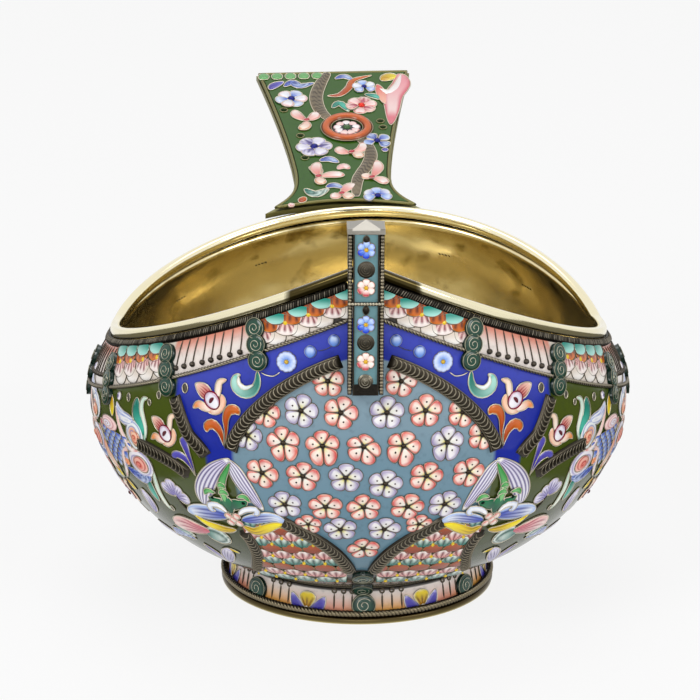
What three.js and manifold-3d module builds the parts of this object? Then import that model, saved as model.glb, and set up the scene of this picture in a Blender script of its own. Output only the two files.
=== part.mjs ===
// A kovsh: a boat-shaped drinking vessel raised from sheet silver, gilded inside and enamelled
// outside, with a prow post, a flat flaring handle, a foot ring and applied wire work.
// Millimetres, +Z up. The prow points along -Y and the handle along +Y.

import * as THREE from 'three';
import { mergeVertices } from 'three/addons/utils/BufferGeometryUtils.js';
import Module from 'manifold-3d';

const wasm = await Module();
wasm.setup();

const degree = Math.PI / 180;
const quarter_turn = Math.PI / 2;

// Driving dimensions of the bowl

const belly_radius = 53.4;
const rim_side_height = 53.5; // where the rim is lowest
const shoulder_height = 16.6; // from the belly line up to the rim there
const belly_height = rim_side_height - shoulder_height;
const belly_follow_share = 0.4; // of the rim's rise, how much the belly line rises with it
const foot_joint_radius = 25.4;
const foot_joint_height = 8.2;
const lower_fullness = 1.62; // 2 is an ellipse, less is a leaner side
const shoulder_fullness = 2.8;
const shell_wall = 1.4;
const floor_sag = 1.5; // how far the floor's middle hangs below the foot joint

// Driving dimensions of the rim, which rises in a point at the prow and softly at the handle

const prow_rise = 28.1;
const handle_rise = 10.9;
const rim_sway = 1.2; // the rear of the rim is this much higher on its right side
const lowest_turn = 97 * degree;
const prow_curve = 1.45;
const handle_curve = 1.3;
const shoulder_draw_in = 4; // from the belly in to the lip
const lip_radius = belly_radius - shoulder_draw_in;
const lip_height = 2.3;
const lip_width = 2.2;
const lip_overhang = 0.4; // from the wall's face under the lip out to the lip's edge
const prow_pull = 3.5; // the plan is drawn out to a mild keel at the prow
const prow_pull_turn = 18 * degree;

// Clearances and applied wires

const seat_gap = 0.3; // between a piece and the curved wall that it is soldered to
const joint_gap = 0.1; // between two flat plates of the post
const milled_width = 1.2;
const milled_height = 0.5;
const rope_end_drop = 9.35; // from the rim's top to the rope wire, at the prow and the handle
const rope_side_widening = 2.5; // how much lower the rope lies at the sides
const rope_diameter = 0.8;
const rope_seat_gap = 0.15; // it is drawn tighter to the wall than the other pieces
const band_width = 2.7;
const band_height = 0.9;

// Scroll columns that divide the shoulder band

const column_turn = 22.5 * degree;
const columns_each_quarter = 3; // with one more column at each side, halfway round
const scroll_radius = 1.95;
const scroll_top_share = 0.96;
const scroll_over_rope = 0.3; // thickness of a scroll where it bridges the rope wire
const scroll_height = rope_seat_gap + rope_diameter + scroll_over_rope;
const scroll_sides = 12;
const scroll_pitch = 3.1;
const scrolls_in_column = 3;
const scroll_above_rope = 4.7; // from the rope up to the middle of the highest scroll
const scroll_lean_turn = 0.9 * degree; // the columns lean a little, most of all halfway round
const column_below_rope = (scrolls_in_column - 1) * scroll_pitch + scroll_radius
  - scroll_above_rope;

// Foot ring

const foot_flare = 0.9; // how far the wall leans out from its top to its bottom
const foot_bottom_radius = foot_joint_radius + foot_flare;
const foot_base_step = 1.3; // from the wall out to the base ring's edge
const foot_base_radius = foot_bottom_radius + foot_base_step;
const foot_base_width = 3;
const foot_base_height = 1.4;
const foot_rope_diameter = 1.4;
const foot_wall_thickness = 1;
const foot_collar_diameter = 1;

// Prow post, a hollow square box of plates

const post_width = 6.6;
const post_depth = 6.6;
const post_stand_off = 3.6; // from the belly out to the front plate's face
const post_front = belly_radius + post_stand_off;
const prow_height = rim_side_height + prow_rise;
const post_above_rim = 6.7;
const post_below_rim = 23.9;
const post_top = prow_height + post_above_rim;
const post_bottom = prow_height - post_below_rim;
const post_plate = 0.8;
const edge_wire = 0.8;
const crossbar_below_rim = 6.3;
const crossbar_height = prow_height - crossbar_below_rim;
const crossbar_thickness = 0.8;
const cap_overhang = 0.15;
const cap_slab = 0.6;
const cap_roof = 1.3;
const cap_block = 0.9;
const cap_block_rise = 0.45;

// Handle, a flat plate that rises behind the bowl

const handle_length = 54;
const handle_slope = 17.1 * degree;
const handle_turn = 2.1 * degree; // it was soldered a little off the prow's line
const handle_tilt = 0.8 * degree; // its right edge lies higher
const handle_plate_thickness = 1.2;
const handle_panel_thickness = 0.6;
const handle_frame_width = 0.9;
const handle_frame_height = 1.1;
const handle_end_half_width = 17.2;
const handle_waist_half_width = 10.4;
const handle_root_half_width = 17;
const handle_waist_place = 10; // from the root, along the plate
const handle_root_curve = 2.7; // how suddenly the plate widens at its root
const handle_end_curve = 1.34;

// Finishes, as plain colours for this model

const gilt = { color: 0xc9a850, roughness: 0.28, metalness: 1 };
const pale_gilt = { color: 0xe6dcae, roughness: 0.22, metalness: 1 };
const dark_silver = { color: 0x6a645c, roughness: 0.45, metalness: 1 };
const bright_silver = { color: 0xd8d6d0, roughness: 0.3, metalness: 1 };
const scroll_green = { color: 0x12402f, roughness: 0.25, metalness: 0 };
const post_enamel = { color: 0x5f8287, roughness: 0.25, metalness: 0 };
const handle_enamel = { color: 0x50732f, roughness: 0.25, metalness: 0 };
const foot_enamel = { color: 0xe0a882, roughness: 0.25, metalness: 0 };

const kovsh = new THREE.Group();

// Places on the wall. A turn is the angle round the bowl from the prow, and a level goes
// from 0 at the foot joint through 1 at the belly to 2 at the underside of the rim's lip.

function rimHeight(turn) {
  const away = Math.abs(turn);
  if (away < lowest_turn) {
    return rim_side_height + prow_rise * (1 - away / lowest_turn) ** prow_curve;
  }
  const back_share = (away - lowest_turn) / (Math.PI - lowest_turn);
  const lift = handle_rise * Math.sin(back_share * quarter_turn) ** handle_curve;
  const sway = rim_sway * Math.sign(turn) * Math.sin(back_share * Math.PI);
  return rim_side_height + lift + sway;
}

function bellyLine(turn) {
  return belly_height + belly_follow_share * (rimHeight(turn) - rim_side_height);
}

function lipRadius(turn) {
  return lip_radius + prow_pull * Math.exp(-Math.abs(turn) / prow_pull_turn);
}

// Returns the wall's radius and height at a level, as x and y of a Vector2.
function wallProfile(turn, level) {
  const belly = bellyLine(turn);
  if (level <= 1) {
    const swing = level * quarter_turn;
    const power = 2 / lower_fullness;
    const out = Math.sin(swing) ** power;
    const up = 1 - Math.abs(Math.cos(swing)) ** power;
    return new THREE.Vector2(
      foot_joint_radius + (belly_radius - foot_joint_radius) * out,
      foot_joint_height + (belly - foot_joint_height) * up,
    );
  }
  const up = level - 1;
  const edge = rimHeight(turn) - lip_height;
  return new THREE.Vector2(
    belly_radius - (belly_radius + lip_overhang - lipRadius(turn)) * up ** shoulder_fullness,
    belly + (edge - belly) * up,
  );
}

// The level on the wall at a height above the table.
function levelAt(turn, height) {
  const belly = bellyLine(turn);
  if (height >= belly) {
    return 1 + (height - belly) / (rimHeight(turn) - lip_height - belly);
  }
  const up = Math.max(0, (height - foot_joint_height) / (belly - foot_joint_height));
  return Math.acos((1 - up) ** (lower_fullness / 2)) / quarter_turn;
}

function around(turn, radius, height) {
  return new THREE.Vector3(radius * Math.sin(turn), -radius * Math.cos(turn), height);
}

function onWall(turn, level) {
  const place = wallProfile(turn, level);
  return around(turn, place.x, place.y);
}

// The direction that points straight out of the wall.
function outOfWall(turn, level) {
  const step = 1e-3;
  const low = Math.max(level - step, 0);
  const along = onWall(turn + step, level).sub(onWall(turn - step, level));
  const up = onWall(turn, low + 2 * step).sub(onWall(turn, low));
  return along.cross(up).normalize();
}

function wrapped(turn) {
  return Math.atan2(Math.sin(turn), Math.cos(turn));
}

function offWall(turn, level, lift) {
  const place = onWall(wrapped(turn), level);
  return place.addScaledVector(outOfWall(wrapped(turn), level), lift);
}

// Solids from rings of points

function geometryOf(points, faces) {
  const geometry = new THREE.BufferGeometry();
  const numbers = points.flatMap((point) => [point.x, point.y, point.z]);
  geometry.setAttribute('position', new THREE.Float32BufferAttribute(numbers, 3));
  geometry.setIndex(faces);
  return geometry;
}

// Joins rings of equal length into one closed solid: a run with two flat ends, or a loop.
function loft(rings, looped) {
  const count = rings[0].length;
  const faces = [];
  const last = looped ? rings.length : rings.length - 1;
  for (let i = 0; i < last; i += 1) {
    const here = i * count;
    const next = ((i + 1) % rings.length) * count;
    for (let j = 0; j < count; j += 1) {
      const side = (j + 1) % count;
      faces.push(here + j, here + side, next + side, here + j, next + side, next + j);
    }
  }
  if (!looped) {
    const end = (rings.length - 1) * count;
    for (let j = 1; j < count - 1; j += 1) {
      faces.push(0, j + 1, j);
      faces.push(end, end + j, end + j + 1);
    }
  }
  return geometryOf(rings.flat(), faces);
}

// Turns profiles that start and end on the axis into one closed shell.
function shellOf(profiles) {
  const first = profiles[0][0];
  const last = profiles[0][profiles[0].length - 1];
  const inner = profiles.map((profile) => profile.slice(1, -1));
  const count = inner[0].length;
  const points = [...inner.flat(), first, last];
  const faces = [];
  const start = points.length - 2;
  const finish = points.length - 1;
  for (let i = 0; i < inner.length; i += 1) {
    const here = i * count;
    const next = ((i + 1) % inner.length) * count;
    faces.push(start, next, here);
    faces.push(finish, here + count - 1, next + count - 1);
    for (let j = 0; j < count - 1; j += 1) {
      faces.push(here + j, next + j, next + j + 1, here + j, next + j + 1, here + j + 1);
    }
  }
  return geometryOf(points, faces);
}

function solidOf(geometry) {
  const bare = geometry.index ? geometry.clone() : geometry;
  bare.deleteAttribute('normal');
  bare.deleteAttribute('uv');
  const merged = mergeVertices(bare);
  return new wasm.Manifold(new wasm.Mesh({
    numProp: 3,
    vertProperties: merged.attributes.position.array,
    triVerts: new Uint32Array(merged.index.array),
  }));
}

function geometryFrom(solid) {
  const mesh = solid.getMesh();
  const geometry = new THREE.BufferGeometry();
  geometry.setAttribute('position', new THREE.Float32BufferAttribute(mesh.vertProperties, 3));
  geometry.setIndex(new THREE.Uint32BufferAttribute(mesh.triVerts, 1));
  return geometry;
}

function add(name, geometry, finish, parent = kovsh) {
  const mesh = new THREE.Mesh(geometry, new THREE.MeshStandardMaterial(finish));
  mesh.name = name;
  parent.add(mesh);
  return mesh;
}

function steps(count, from, to) {
  return Array.from({ length: count + 1 }, (_, i) => from + (to - from) * (i / count));
}

// Bowl: one raised sheet, open at the top

function addBowl() {
  const turns = 48;
  const lower_levels = steps(8, 0, 1);
  const upper_levels = steps(4, 1, 2).slice(1);
  const levels = [...lower_levels, ...upper_levels];
  const floor_shares = [0.35, 0.7];
  const profiles = steps(turns, -Math.PI, Math.PI).slice(0, -1).map((turn) => {
    const floor = foot_joint_height - floor_sag;
    const outer = [new THREE.Vector3(0, 0, floor)];
    for (const share of floor_shares) {
      const height = floor + floor_sag * share ** 2;
      outer.push(around(turn, foot_joint_radius * share, height));
    }
    outer.push(...levels.map((level) => onWall(turn, level)));
    outer[outer.length - 1].z -= seat_gap;
    const inside = levels.map((level) => offWall(turn, level, -shell_wall)).reverse();
    const edge = outer[outer.length - 1];
    inside[0] = around(turn, Math.hypot(edge.x, edge.y) - shell_wall, edge.z);
    for (const share of floor_shares.toReversed()) {
      const height = floor + shell_wall + floor_sag * share ** 2;
      inside.push(around(turn, (foot_joint_radius - shell_wall) * share, height));
    }
    inside.push(new THREE.Vector3(0, 0, floor + shell_wall));
    return [...outer, ...inside];
  });
  add('bowl_shell', shellOf(profiles), gilt);
}

// Rim: a thick rounded gilt lip that follows the sheer

function addRim() {
  const turns = 72;
  const corners = 8;
  const squareness = 0.7;
  const rings = steps(turns, -Math.PI, Math.PI).slice(0, -1).map((turn) => {
    const middle = lipRadius(turn) - lip_width / 2;
    const height = rimHeight(turn) - lip_height / 2;
    return steps(corners, 2 * Math.PI, 0).slice(0, -1).map((angle) => {
      const out = Math.sign(Math.cos(angle)) * Math.abs(Math.cos(angle)) ** squareness;
      const up = Math.sign(Math.sin(angle)) * Math.abs(Math.sin(angle)) ** squareness;
      return around(turn, middle + (lip_width / 2) * out, height + (lip_height / 2) * up);
    });
  });
  add('gilt_rim', loft(rings, true), pale_gilt);
}

// Wires and bands that lie on the wall. A route is a list of [turn, level] places.

function bandAlong(route, width, height, profile, lift = seat_gap) {
  const places = route.map(([turn, level]) => onWall(wrapped(turn), level));
  const rings = route.map(([turn, level], i) => {
    const before = places[Math.max(i - 1, 0)];
    const after = places[Math.min(i + 1, places.length - 1)];
    const along = after.clone().sub(before).normalize();
    const out = outOfWall(wrapped(turn), level);
    const side = out.clone().cross(along).normalize();
    return profile.map(([across, up]) => places[i].clone()
      .addScaledVector(side, across * (width / 2))
      .addScaledVector(out, lift + up * height));
  });
  return loft(rings, false);
}

const crowned_shares = [[-1, 0], [1, 0], [1, 0.6], [0.45, 1], [-0.45, 1], [-1, 0.6]];
const flat_strip_shares = [[-1, 0], [1, 0], [0.8, 1], [-0.8, 1]];
const square_shares = [[-1, 0], [1, 0], [1, 1], [-1, 1]];
const round_wire_shares = steps(6, 0, 2 * Math.PI).slice(0, -1)
  .map((angle) => [Math.cos(angle), (1 + Math.sin(angle)) / 2]);

// The wires round the bowl stop at both sides of the prow post.
const wire_clear_turn = 0.5 * degree;
const post_half_turn = Math.asin((post_width / 2 + seat_gap) / belly_radius) + wire_clear_turn;

// The shoulder band is narrowest at the prow and the handle.
function ropeDrop(turn) {
  return rope_end_drop + rope_side_widening * Math.sin(turn) ** 2;
}

function milledDrop() {
  return lip_height + seat_gap + milled_width / 2;
}

function ringRoute(count, dropAt) {
  return steps(count, post_half_turn, 2 * Math.PI - post_half_turn).map((turn) => {
    const here = wrapped(turn);
    return [turn, levelAt(here, rimHeight(here) - dropAt(here))];
  });
}

function addShoulderWires() {
  const ring_stations = 72;
  const milled = bandAlong(ringRoute(ring_stations, milledDrop), milled_width, milled_height,
    flat_strip_shares);
  add('rim_milled_wire', milled, dark_silver);
  const rope = bandAlong(ringRoute(ring_stations, ropeDrop), rope_diameter, rope_diameter,
    round_wire_shares, rope_seat_gap);
  add('shoulder_rope_wire', rope, dark_silver);
}

// Scroll columns: three stacked discs of wire and green enamel, notched over the two wires

function scrollDisc(turn, height) {
  const level = levelAt(turn, height);
  const out = outOfWall(turn, level);
  const disc = new THREE.CylinderGeometry(scroll_radius * scroll_top_share, scroll_radius,
    scroll_height, scroll_sides);
  disc.rotateX(quarter_turn);
  const facing = new THREE.Quaternion().setFromUnitVectors(new THREE.Vector3(0, 0, 1), out);
  disc.applyQuaternion(facing);
  const middle = onWall(turn, level)
    .addScaledVector(out, seat_gap + scroll_height / 2);
  disc.translate(middle.x, middle.y, middle.z);
  return solidOf(disc);
}

// A square channel that leaves room for a ring wire.
function wireNotch(turn, dropAt, width, height) {
  const reach = (2 * scroll_radius) / belly_radius;
  const path = steps(2, turn - reach, turn + reach).map((here) => [
    here, levelAt(here, rimHeight(here) - dropAt(here))]);
  return solidOf(bandAlong(path, width + 2 * seat_gap, height + seat_gap, square_shares, 0));
}

function scrollColumn(turn) {
  let column = null;
  for (let i = 0; i < scrolls_in_column; i += 1) {
    const here = turn - (i - 1) * scroll_lean_turn * Math.sin(2 * turn);
    const drop = ropeDrop(here) - scroll_above_rope + i * scroll_pitch;
    const disc = scrollDisc(here, rimHeight(here) - drop);
    column = column ? column.add(disc) : disc;
  }
  return column
    .subtract(wireNotch(turn, ropeDrop, rope_diameter, rope_seat_gap + rope_diameter))
    .subtract(wireNotch(turn, milledDrop, milled_width, seat_gap + milled_height));
}

function addScrollColumns() {
  const quarter = steps(columns_each_quarter - 1, column_turn, columns_each_quarter * column_turn);
  const turns = [...quarter, quarter_turn, ...quarter.map((turn) => Math.PI - turn).reverse()];
  let number = 1;
  for (const side of [-1, 1]) {
    for (const turn of turns) {
      add(`scroll_column_${String(number).padStart(2, '0')}`,
        geometryFrom(scrollColumn(side * turn)), scroll_green);
      number += 1;
    }
  }
}

// Ribbed bands: raised strips that frame the panels. Levels here are shares of the wall's
// own height at each turn, and turns are in degrees from the prow or from the back.

const arch_half_turn = 27.8 * degree;
const arch_foot_share = 0.96;
const front_arch_gap = 5.95; // from the rope wire down to the band at the arch's crown
const rear_arch_gap = 2.35;
const arch_flank = 2.4;
const arch_crown = 0.62;
const arch_foot_swing = 86 * degree;
const arch_post_clear_swing = 1.5 * degree;
const upper_diagonal_shares = [[38.4, 1.15], [35.6, 1.03], [33.6, 0.95]];
const lower_diagonal_shares = [[53.4, 0.97], [48, 0.94], [43, 0.9], [38.8, 0.85]];
const column_band_share = 0.33; // how far under the column's foot an upper diagonal starts
const ogee_shares = [[18.4, 0.66], [14.6, 0.615], [10.6, 0.565], [7, 0.5], [4.6, 0.43], [3.4, 0.37]];
const ogee_side_shares = [[28.6, 0.6], [27.6, 0.55], [27.7, 0.48], [29.4, 0.41], [32.4, 0.33]];

// Places along the arch round a middle turn, closer together where it turns down.
function archRoute(count, from, to, middle, gap) {
  const crown_drop = rope_end_drop + rope_diameter / 2 + gap + band_width / 2;
  const rise = levelAt(middle, rimHeight(middle) - crown_drop) - arch_foot_share;
  return steps(count, from, to).map((swing) => {
    const share = Math.sin(swing);
    const lift = rise * (1 - Math.abs(share) ** arch_flank) ** arch_crown;
    return [wrapped(middle + arch_half_turn * share), arch_foot_share + lift];
  });
}

function smoothRoute(shares, count, place, start = []) {
  const places = shares.map(([turn, level]) => new THREE.Vector3(turn * degree, level, 0));
  const curve = new THREE.CatmullRomCurve3([...start, ...places]);
  return steps(count, 0, 1).map((share) => {
    const point = curve.getPoint(share);
    return [place(point.x), point.y];
  });
}

// Where an upper diagonal starts, beside the foot of the second column.
function underColumn(turned) {
  const turn = 2 * column_turn - (scroll_radius + column_band_share * band_width) / belly_radius;
  const here = wrapped(turned(turn));
  const drop = ropeDrop(here) + column_below_rope + seat_gap;
  const level = levelAt(here, rimHeight(here) - drop);
  return new THREE.Vector3(turn, level, 0);
}

function addBand(name, route) {
  add(name, bandAlong(route, band_width, band_height, crowned_shares), dark_silver);
}

function addPanelBands() {
  const foot = arch_foot_swing;
  const post_turn = Math.asin((post_width / 2 + seat_gap) / belly_radius);
  const post = Math.asin(post_turn / arch_half_turn) + arch_post_clear_swing;
  addBand('front_arch_left', archRoute(16, -foot, -post, 0, front_arch_gap));
  addBand('front_arch_right', archRoute(16, post, foot, 0, front_arch_gap));
  addBand('rear_arch', archRoute(32, -foot, foot, Math.PI, rear_arch_gap));
  const places = {
    front_left: (turn) => -turn,
    front_right: (turn) => turn,
    rear_left: (turn) => turn - Math.PI,
    rear_right: (turn) => Math.PI - turn,
  };
  for (const [place, turned] of Object.entries(places)) {
    addBand(`upper_diagonal_${place}`,
      smoothRoute(upper_diagonal_shares, 8, turned, [underColumn(turned)]));
    addBand(`lower_diagonal_${place}`, smoothRoute(lower_diagonal_shares, 6, turned));
    addBand(`ogee_band_${place}`, smoothRoute(ogee_shares, 8, turned));
    addBand(`ogee_side_${place}`, smoothRoute(ogee_side_shares, 6, turned));
  }
}

// Foot: base ring, wall, rope wire and collar wire, all round

const foot_turns = 40;
const base_edge_share = 0.33;

function ringOf(radius, height, diameter) {
  const wire = new THREE.TorusGeometry(radius, diameter / 2, 6, foot_turns);
  wire.translate(0, 0, height);
  return geometryFrom(solidOf(wire));
}

function turnedRing(corners) {
  const profile = corners.map(([radius, height]) => new THREE.Vector2(radius, height));
  profile.push(profile[0].clone());
  const ring = new THREE.LatheGeometry(profile, foot_turns);
  ring.rotateX(quarter_turn);
  return geometryFrom(solidOf(ring));
}

function addFoot() {
  const base_edge = foot_base_radius - base_edge_share * foot_base_height;
  const base_inside = foot_base_radius - foot_base_width;
  add('foot_base_ring', turnedRing([
    [base_inside, 0], [base_edge, 0], [foot_base_radius, base_edge_share * foot_base_height],
    [foot_base_radius, foot_base_height], [base_inside, foot_base_height],
  ]), pale_gilt);
  const collar_middle = foot_joint_height - seat_gap - foot_collar_diameter / 2;
  const wall_top = collar_middle - foot_collar_diameter / 2 - joint_gap;
  const top_radius = foot_joint_radius;
  const wall_inset = foot_wall_thickness;
  add('foot_wall', turnedRing([
    [foot_bottom_radius - wall_inset, foot_base_height],
    [foot_bottom_radius, foot_base_height],
    [top_radius, wall_top],
    [top_radius - wall_inset, wall_top],
  ]), foot_enamel);
  const rope_middle = foot_base_height + foot_rope_diameter / 2 + joint_gap;
  const rope_radius = foot_bottom_radius + foot_rope_diameter / 2 + joint_gap;
  add('foot_rope_wire', ringOf(rope_radius, rope_middle, foot_rope_diameter), dark_silver);
  const collar_radius = foot_joint_radius - foot_collar_diameter / 2;
  add('foot_collar_wire', ringOf(collar_radius, collar_middle, foot_collar_diameter),
    dark_silver);
}

// Prow post: front, side, back and bottom plates, edge wires, cross bar and cap

function boxBetween(low, high) {
  const box = new THREE.BoxGeometry(high.x - low.x, high.y - low.y, high.z - low.z);
  box.translate((low.x + high.x) / 2, (low.y + high.y) / 2, (low.z + high.z) / 2);
  return box;
}

function vector(x, y, z) {
  return new THREE.Vector3(x, y, z);
}

function addPostPlates() {
  const half = post_width / 2;
  const inner_half = half - post_plate - joint_gap;
  const face = -post_front;
  const back = face + post_depth;
  const side_front = face + post_plate + joint_gap;
  const wall_front = -belly_radius - seat_gap;
  const side_turn = Math.asin(half / belly_radius);
  const notch_height = rimHeight(side_turn - degree) + seat_gap;
  add('post_front_plate', boxBetween(vector(edge_wire + joint_gap - half, face, post_bottom),
    vector(half - edge_wire - joint_gap, face + post_plate, post_top)), post_enamel);
  const outline = new THREE.Shape([
    new THREE.Vector2(side_front, post_bottom), new THREE.Vector2(wall_front, post_bottom),
    new THREE.Vector2(wall_front, notch_height), new THREE.Vector2(back, notch_height),
    new THREE.Vector2(back, post_top), new THREE.Vector2(side_front, post_top),
  ]);
  for (const [name, from] of [['post_left_plate', -half], ['post_right_plate', half - post_plate]]) {
    const plate = new THREE.ExtrudeGeometry(outline, { depth: post_plate, bevelEnabled: false });
    plate.rotateY(quarter_turn);
    plate.rotateX(quarter_turn);
    plate.translate(from, 0, 0);
    add(name, plate, dark_silver);
  }
  const back_bottom = rimHeight(0) + seat_gap;
  add('post_back_plate', boxBetween(vector(-inner_half, back - post_plate, back_bottom),
    vector(inner_half, back, post_top)), dark_silver);
  add('post_bottom_plate', boxBetween(vector(-inner_half, side_front, post_bottom),
    vector(inner_half, wall_front, post_bottom + post_plate)), dark_silver);
}

function addPostWires() {
  const half = post_width / 2;
  for (const [name, side] of [['post_edge_wire_left', -1], ['post_edge_wire_right', 1]]) {
    const wire = new THREE.CylinderGeometry(edge_wire / 2, edge_wire / 2,
      post_top - post_bottom, 8);
    wire.rotateX(quarter_turn);
    wire.translate(side * (half - edge_wire / 2), edge_wire / 2 - post_front,
      (post_top + post_bottom) / 2);
    add(name, geometryFrom(solidOf(wire)), bright_silver);
  }
  const bar = new THREE.CylinderGeometry(crossbar_thickness / 2, crossbar_thickness / 2,
    post_width, 8);
  bar.rotateZ(quarter_turn);
  bar.translate(0, -post_front - joint_gap - crossbar_thickness / 2, crossbar_height);
  add('post_crossbar_wire', geometryFrom(solidOf(bar)), bright_silver);
}

function addPostCap() {
  const half = post_width / 2 + cap_overhang;
  const front = -post_front - cap_overhang;
  const back = post_depth - post_front + cap_overhang;
  const bottom = post_top + joint_gap;
  const top = bottom + cap_slab;
  let cap = solidOf(boxBetween(vector(-half, front, bottom), vector(half, back, top)));
  const roof = new THREE.ConeGeometry((half - cap_block / 2) * Math.SQRT2, cap_roof, 4);
  roof.rotateY(quarter_turn / 2);
  roof.rotateX(quarter_turn);
  roof.translate(0, (front + back) / 2, top + cap_roof / 2);
  cap = cap.add(solidOf(roof));
  for (const x of [-half, half - cap_block]) {
    cap = cap.add(solidOf(boxBetween(vector(x, front, bottom),
      vector(x + cap_block, front + cap_block, top + cap_block_rise))));
  }
  add('post_cap', geometryFrom(cap), bright_silver);
}

// Handle: plate, raised frame strip and enamel panel, in one sloping group

// Where the plate's root corners lie, behind its root's middle.
const handle_root_place = (Math.sqrt((lip_radius + seat_gap) ** 2 - handle_root_half_width ** 2)
  - lip_radius - seat_gap) / Math.cos(handle_slope);

// The half width narrows from the root to the waist and flares again to the end.
function handleHalfWidth(place) {
  if (place < handle_waist_place) {
    const share = (handle_waist_place - place) / (handle_waist_place - handle_root_place);
    const flare = handle_root_half_width - handle_waist_half_width;
    return handle_waist_half_width + flare * share ** handle_root_curve;
  }
  const share = (place - handle_waist_place) / (handle_length - handle_waist_place);
  const flare = handle_end_half_width - handle_waist_half_width;
  return handle_waist_half_width + flare * share ** handle_end_curve;
}

// The outline drawn in by an inset. Its root is hollowed to the rim's own curve, and the
// root's corner lies where that curve meets the side.
function handleOutline(inset) {
  const seat_radius = lip_radius + seat_gap;
  const rootPlace = (across) => (
    (Math.sqrt((seat_radius + inset) ** 2 - across ** 2) - seat_radius) / Math.cos(handle_slope));
  const halfWidth = (place) => handleHalfWidth(place) - inset;
  let corner = handle_root_half_width;
  const rounds = 20; // by then the corner no longer moves
  for (let i = 0; i < rounds; i += 1) {
    corner = halfWidth(rootPlace(corner));
  }
  const side = [
    ...steps(5, rootPlace(corner), handle_waist_place).slice(1, -1),
    ...steps(8, handle_waist_place, handle_length - inset),
  ].map((place) => [halfWidth(place), place]);
  const root = steps(10, -corner, corner).map((across) => [across, rootPlace(across)]);
  const left = side.map(([across, place]) => [-across, place]).reverse();
  return [...root, ...side, ...left].map(([across, place]) => new THREE.Vector2(across, place));
}

function addHandle() {
  const turned = new THREE.Group();
  turned.rotation.z = handle_turn;
  const sloped = new THREE.Group();
  sloped.rotation.x = handle_slope;
  sloped.rotation.y = -handle_tilt;
  const stack = handle_plate_thickness + seat_gap + handle_frame_height;
  sloped.position.set(0, lip_radius + seat_gap + stack * Math.sin(handle_slope),
    rimHeight(Math.PI) - handle_plate_thickness);
  turned.add(sloped);
  kovsh.add(turned);
  const slab = (outline, bottom, thickness) => {
    const geometry = new THREE.ExtrudeGeometry(outline, { depth: thickness, bevelEnabled: false });
    geometry.translate(0, 0, bottom);
    return geometry;
  };
  add('handle_plate', slab(new THREE.Shape(handleOutline(0)), 0, handle_plate_thickness),
    gilt, sloped);
  const seat = handle_plate_thickness + seat_gap;
  const frame = new THREE.Shape(handleOutline(joint_gap));
  frame.holes.push(new THREE.Path(handleOutline(joint_gap + handle_frame_width)));
  add('handle_frame_strip', slab(frame, seat, handle_frame_height), pale_gilt, sloped);
  const panel_inset = joint_gap + handle_frame_width + seat_gap;
  add('handle_enamel_panel', slab(new THREE.Shape(handleOutline(panel_inset)), seat,
    handle_panel_thickness), handle_enamel, sloped);
}

addBowl();
addRim();
addShoulderWires();
addScrollColumns();
addPanelBands();
addFoot();
addPostPlates();
addPostWires();
addPostCap();
addHandle();

// The origin is the middle of the whole outline, on the table.
const bounds = new THREE.Box3().setFromObject(kovsh);
const middle = bounds.getCenter(new THREE.Vector3());
kovsh.position.set(-middle.x, -middle.y, -bounds.min.z);

export default kovsh;
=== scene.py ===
# %% [markdown]
# # A kovsh in gilded silver and cell enamel
# The scene dresses the vessel over its CAD frame. Lengths are in millimetres in the bowl's
# own frame: the bowl's axis is Z, the prow points along -Y and +X is to the right. A place on
# the wall is a turn, the angle round the bowl from the prow, and a level, which goes from 0
# at the foot joint through 1 at the belly to 2 under the rim's lip.

import math

import bpy
import numpy as np
from mathutils import Matrix, Vector


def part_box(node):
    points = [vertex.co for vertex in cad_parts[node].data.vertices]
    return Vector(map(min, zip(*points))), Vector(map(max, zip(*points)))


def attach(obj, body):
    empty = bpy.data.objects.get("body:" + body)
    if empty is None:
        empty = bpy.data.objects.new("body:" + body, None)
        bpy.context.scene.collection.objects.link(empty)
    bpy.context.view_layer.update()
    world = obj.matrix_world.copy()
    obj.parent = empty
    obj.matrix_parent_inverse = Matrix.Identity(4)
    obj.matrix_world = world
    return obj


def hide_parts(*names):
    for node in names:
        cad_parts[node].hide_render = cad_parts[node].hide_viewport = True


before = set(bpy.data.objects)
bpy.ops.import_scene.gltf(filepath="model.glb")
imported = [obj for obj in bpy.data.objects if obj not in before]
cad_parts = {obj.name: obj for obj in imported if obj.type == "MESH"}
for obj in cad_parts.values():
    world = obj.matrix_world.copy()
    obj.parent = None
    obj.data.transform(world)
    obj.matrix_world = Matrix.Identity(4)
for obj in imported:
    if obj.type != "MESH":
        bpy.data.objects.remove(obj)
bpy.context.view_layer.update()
foot_low, foot_high = (np.array(corner) * 1000 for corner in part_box("foot_base_ring"))
axis = (foot_low + foot_high) / 2 * np.array([1, 1, 0])
rng = np.random.default_rng(7)
print("bowl's axis, mm:", axis.round(3))

# %% [markdown]
# ## Colours
# Colours are written as they look on a screen and turned to linear light in one place.

# %% Colour helpers


def linear(code):
    """Linear colour of a code such as "c9a850": c / 12.92 if dark, else a power of 2.4."""
    srgb = np.array([int(code[i:i + 2], 16) for i in (0, 2, 4)]) / 255
    return np.where(srgb <= 0.04045, srgb / 12.92, ((srgb + 0.055) / 1.055) ** 2.4)


def ease(low, high, value):
    """0 below low, 1 above high, and 3t^2 - 2t^3 between them."""
    share = np.clip((np.asarray(value, float) - low) / (high - low), 0, 1)
    return share * share * (3 - 2 * share)


def mix(first, second, share):
    """first + (second - first) * share, with one share for each point."""
    return first + (second - first) * np.asarray(share, float)[..., None]


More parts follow.
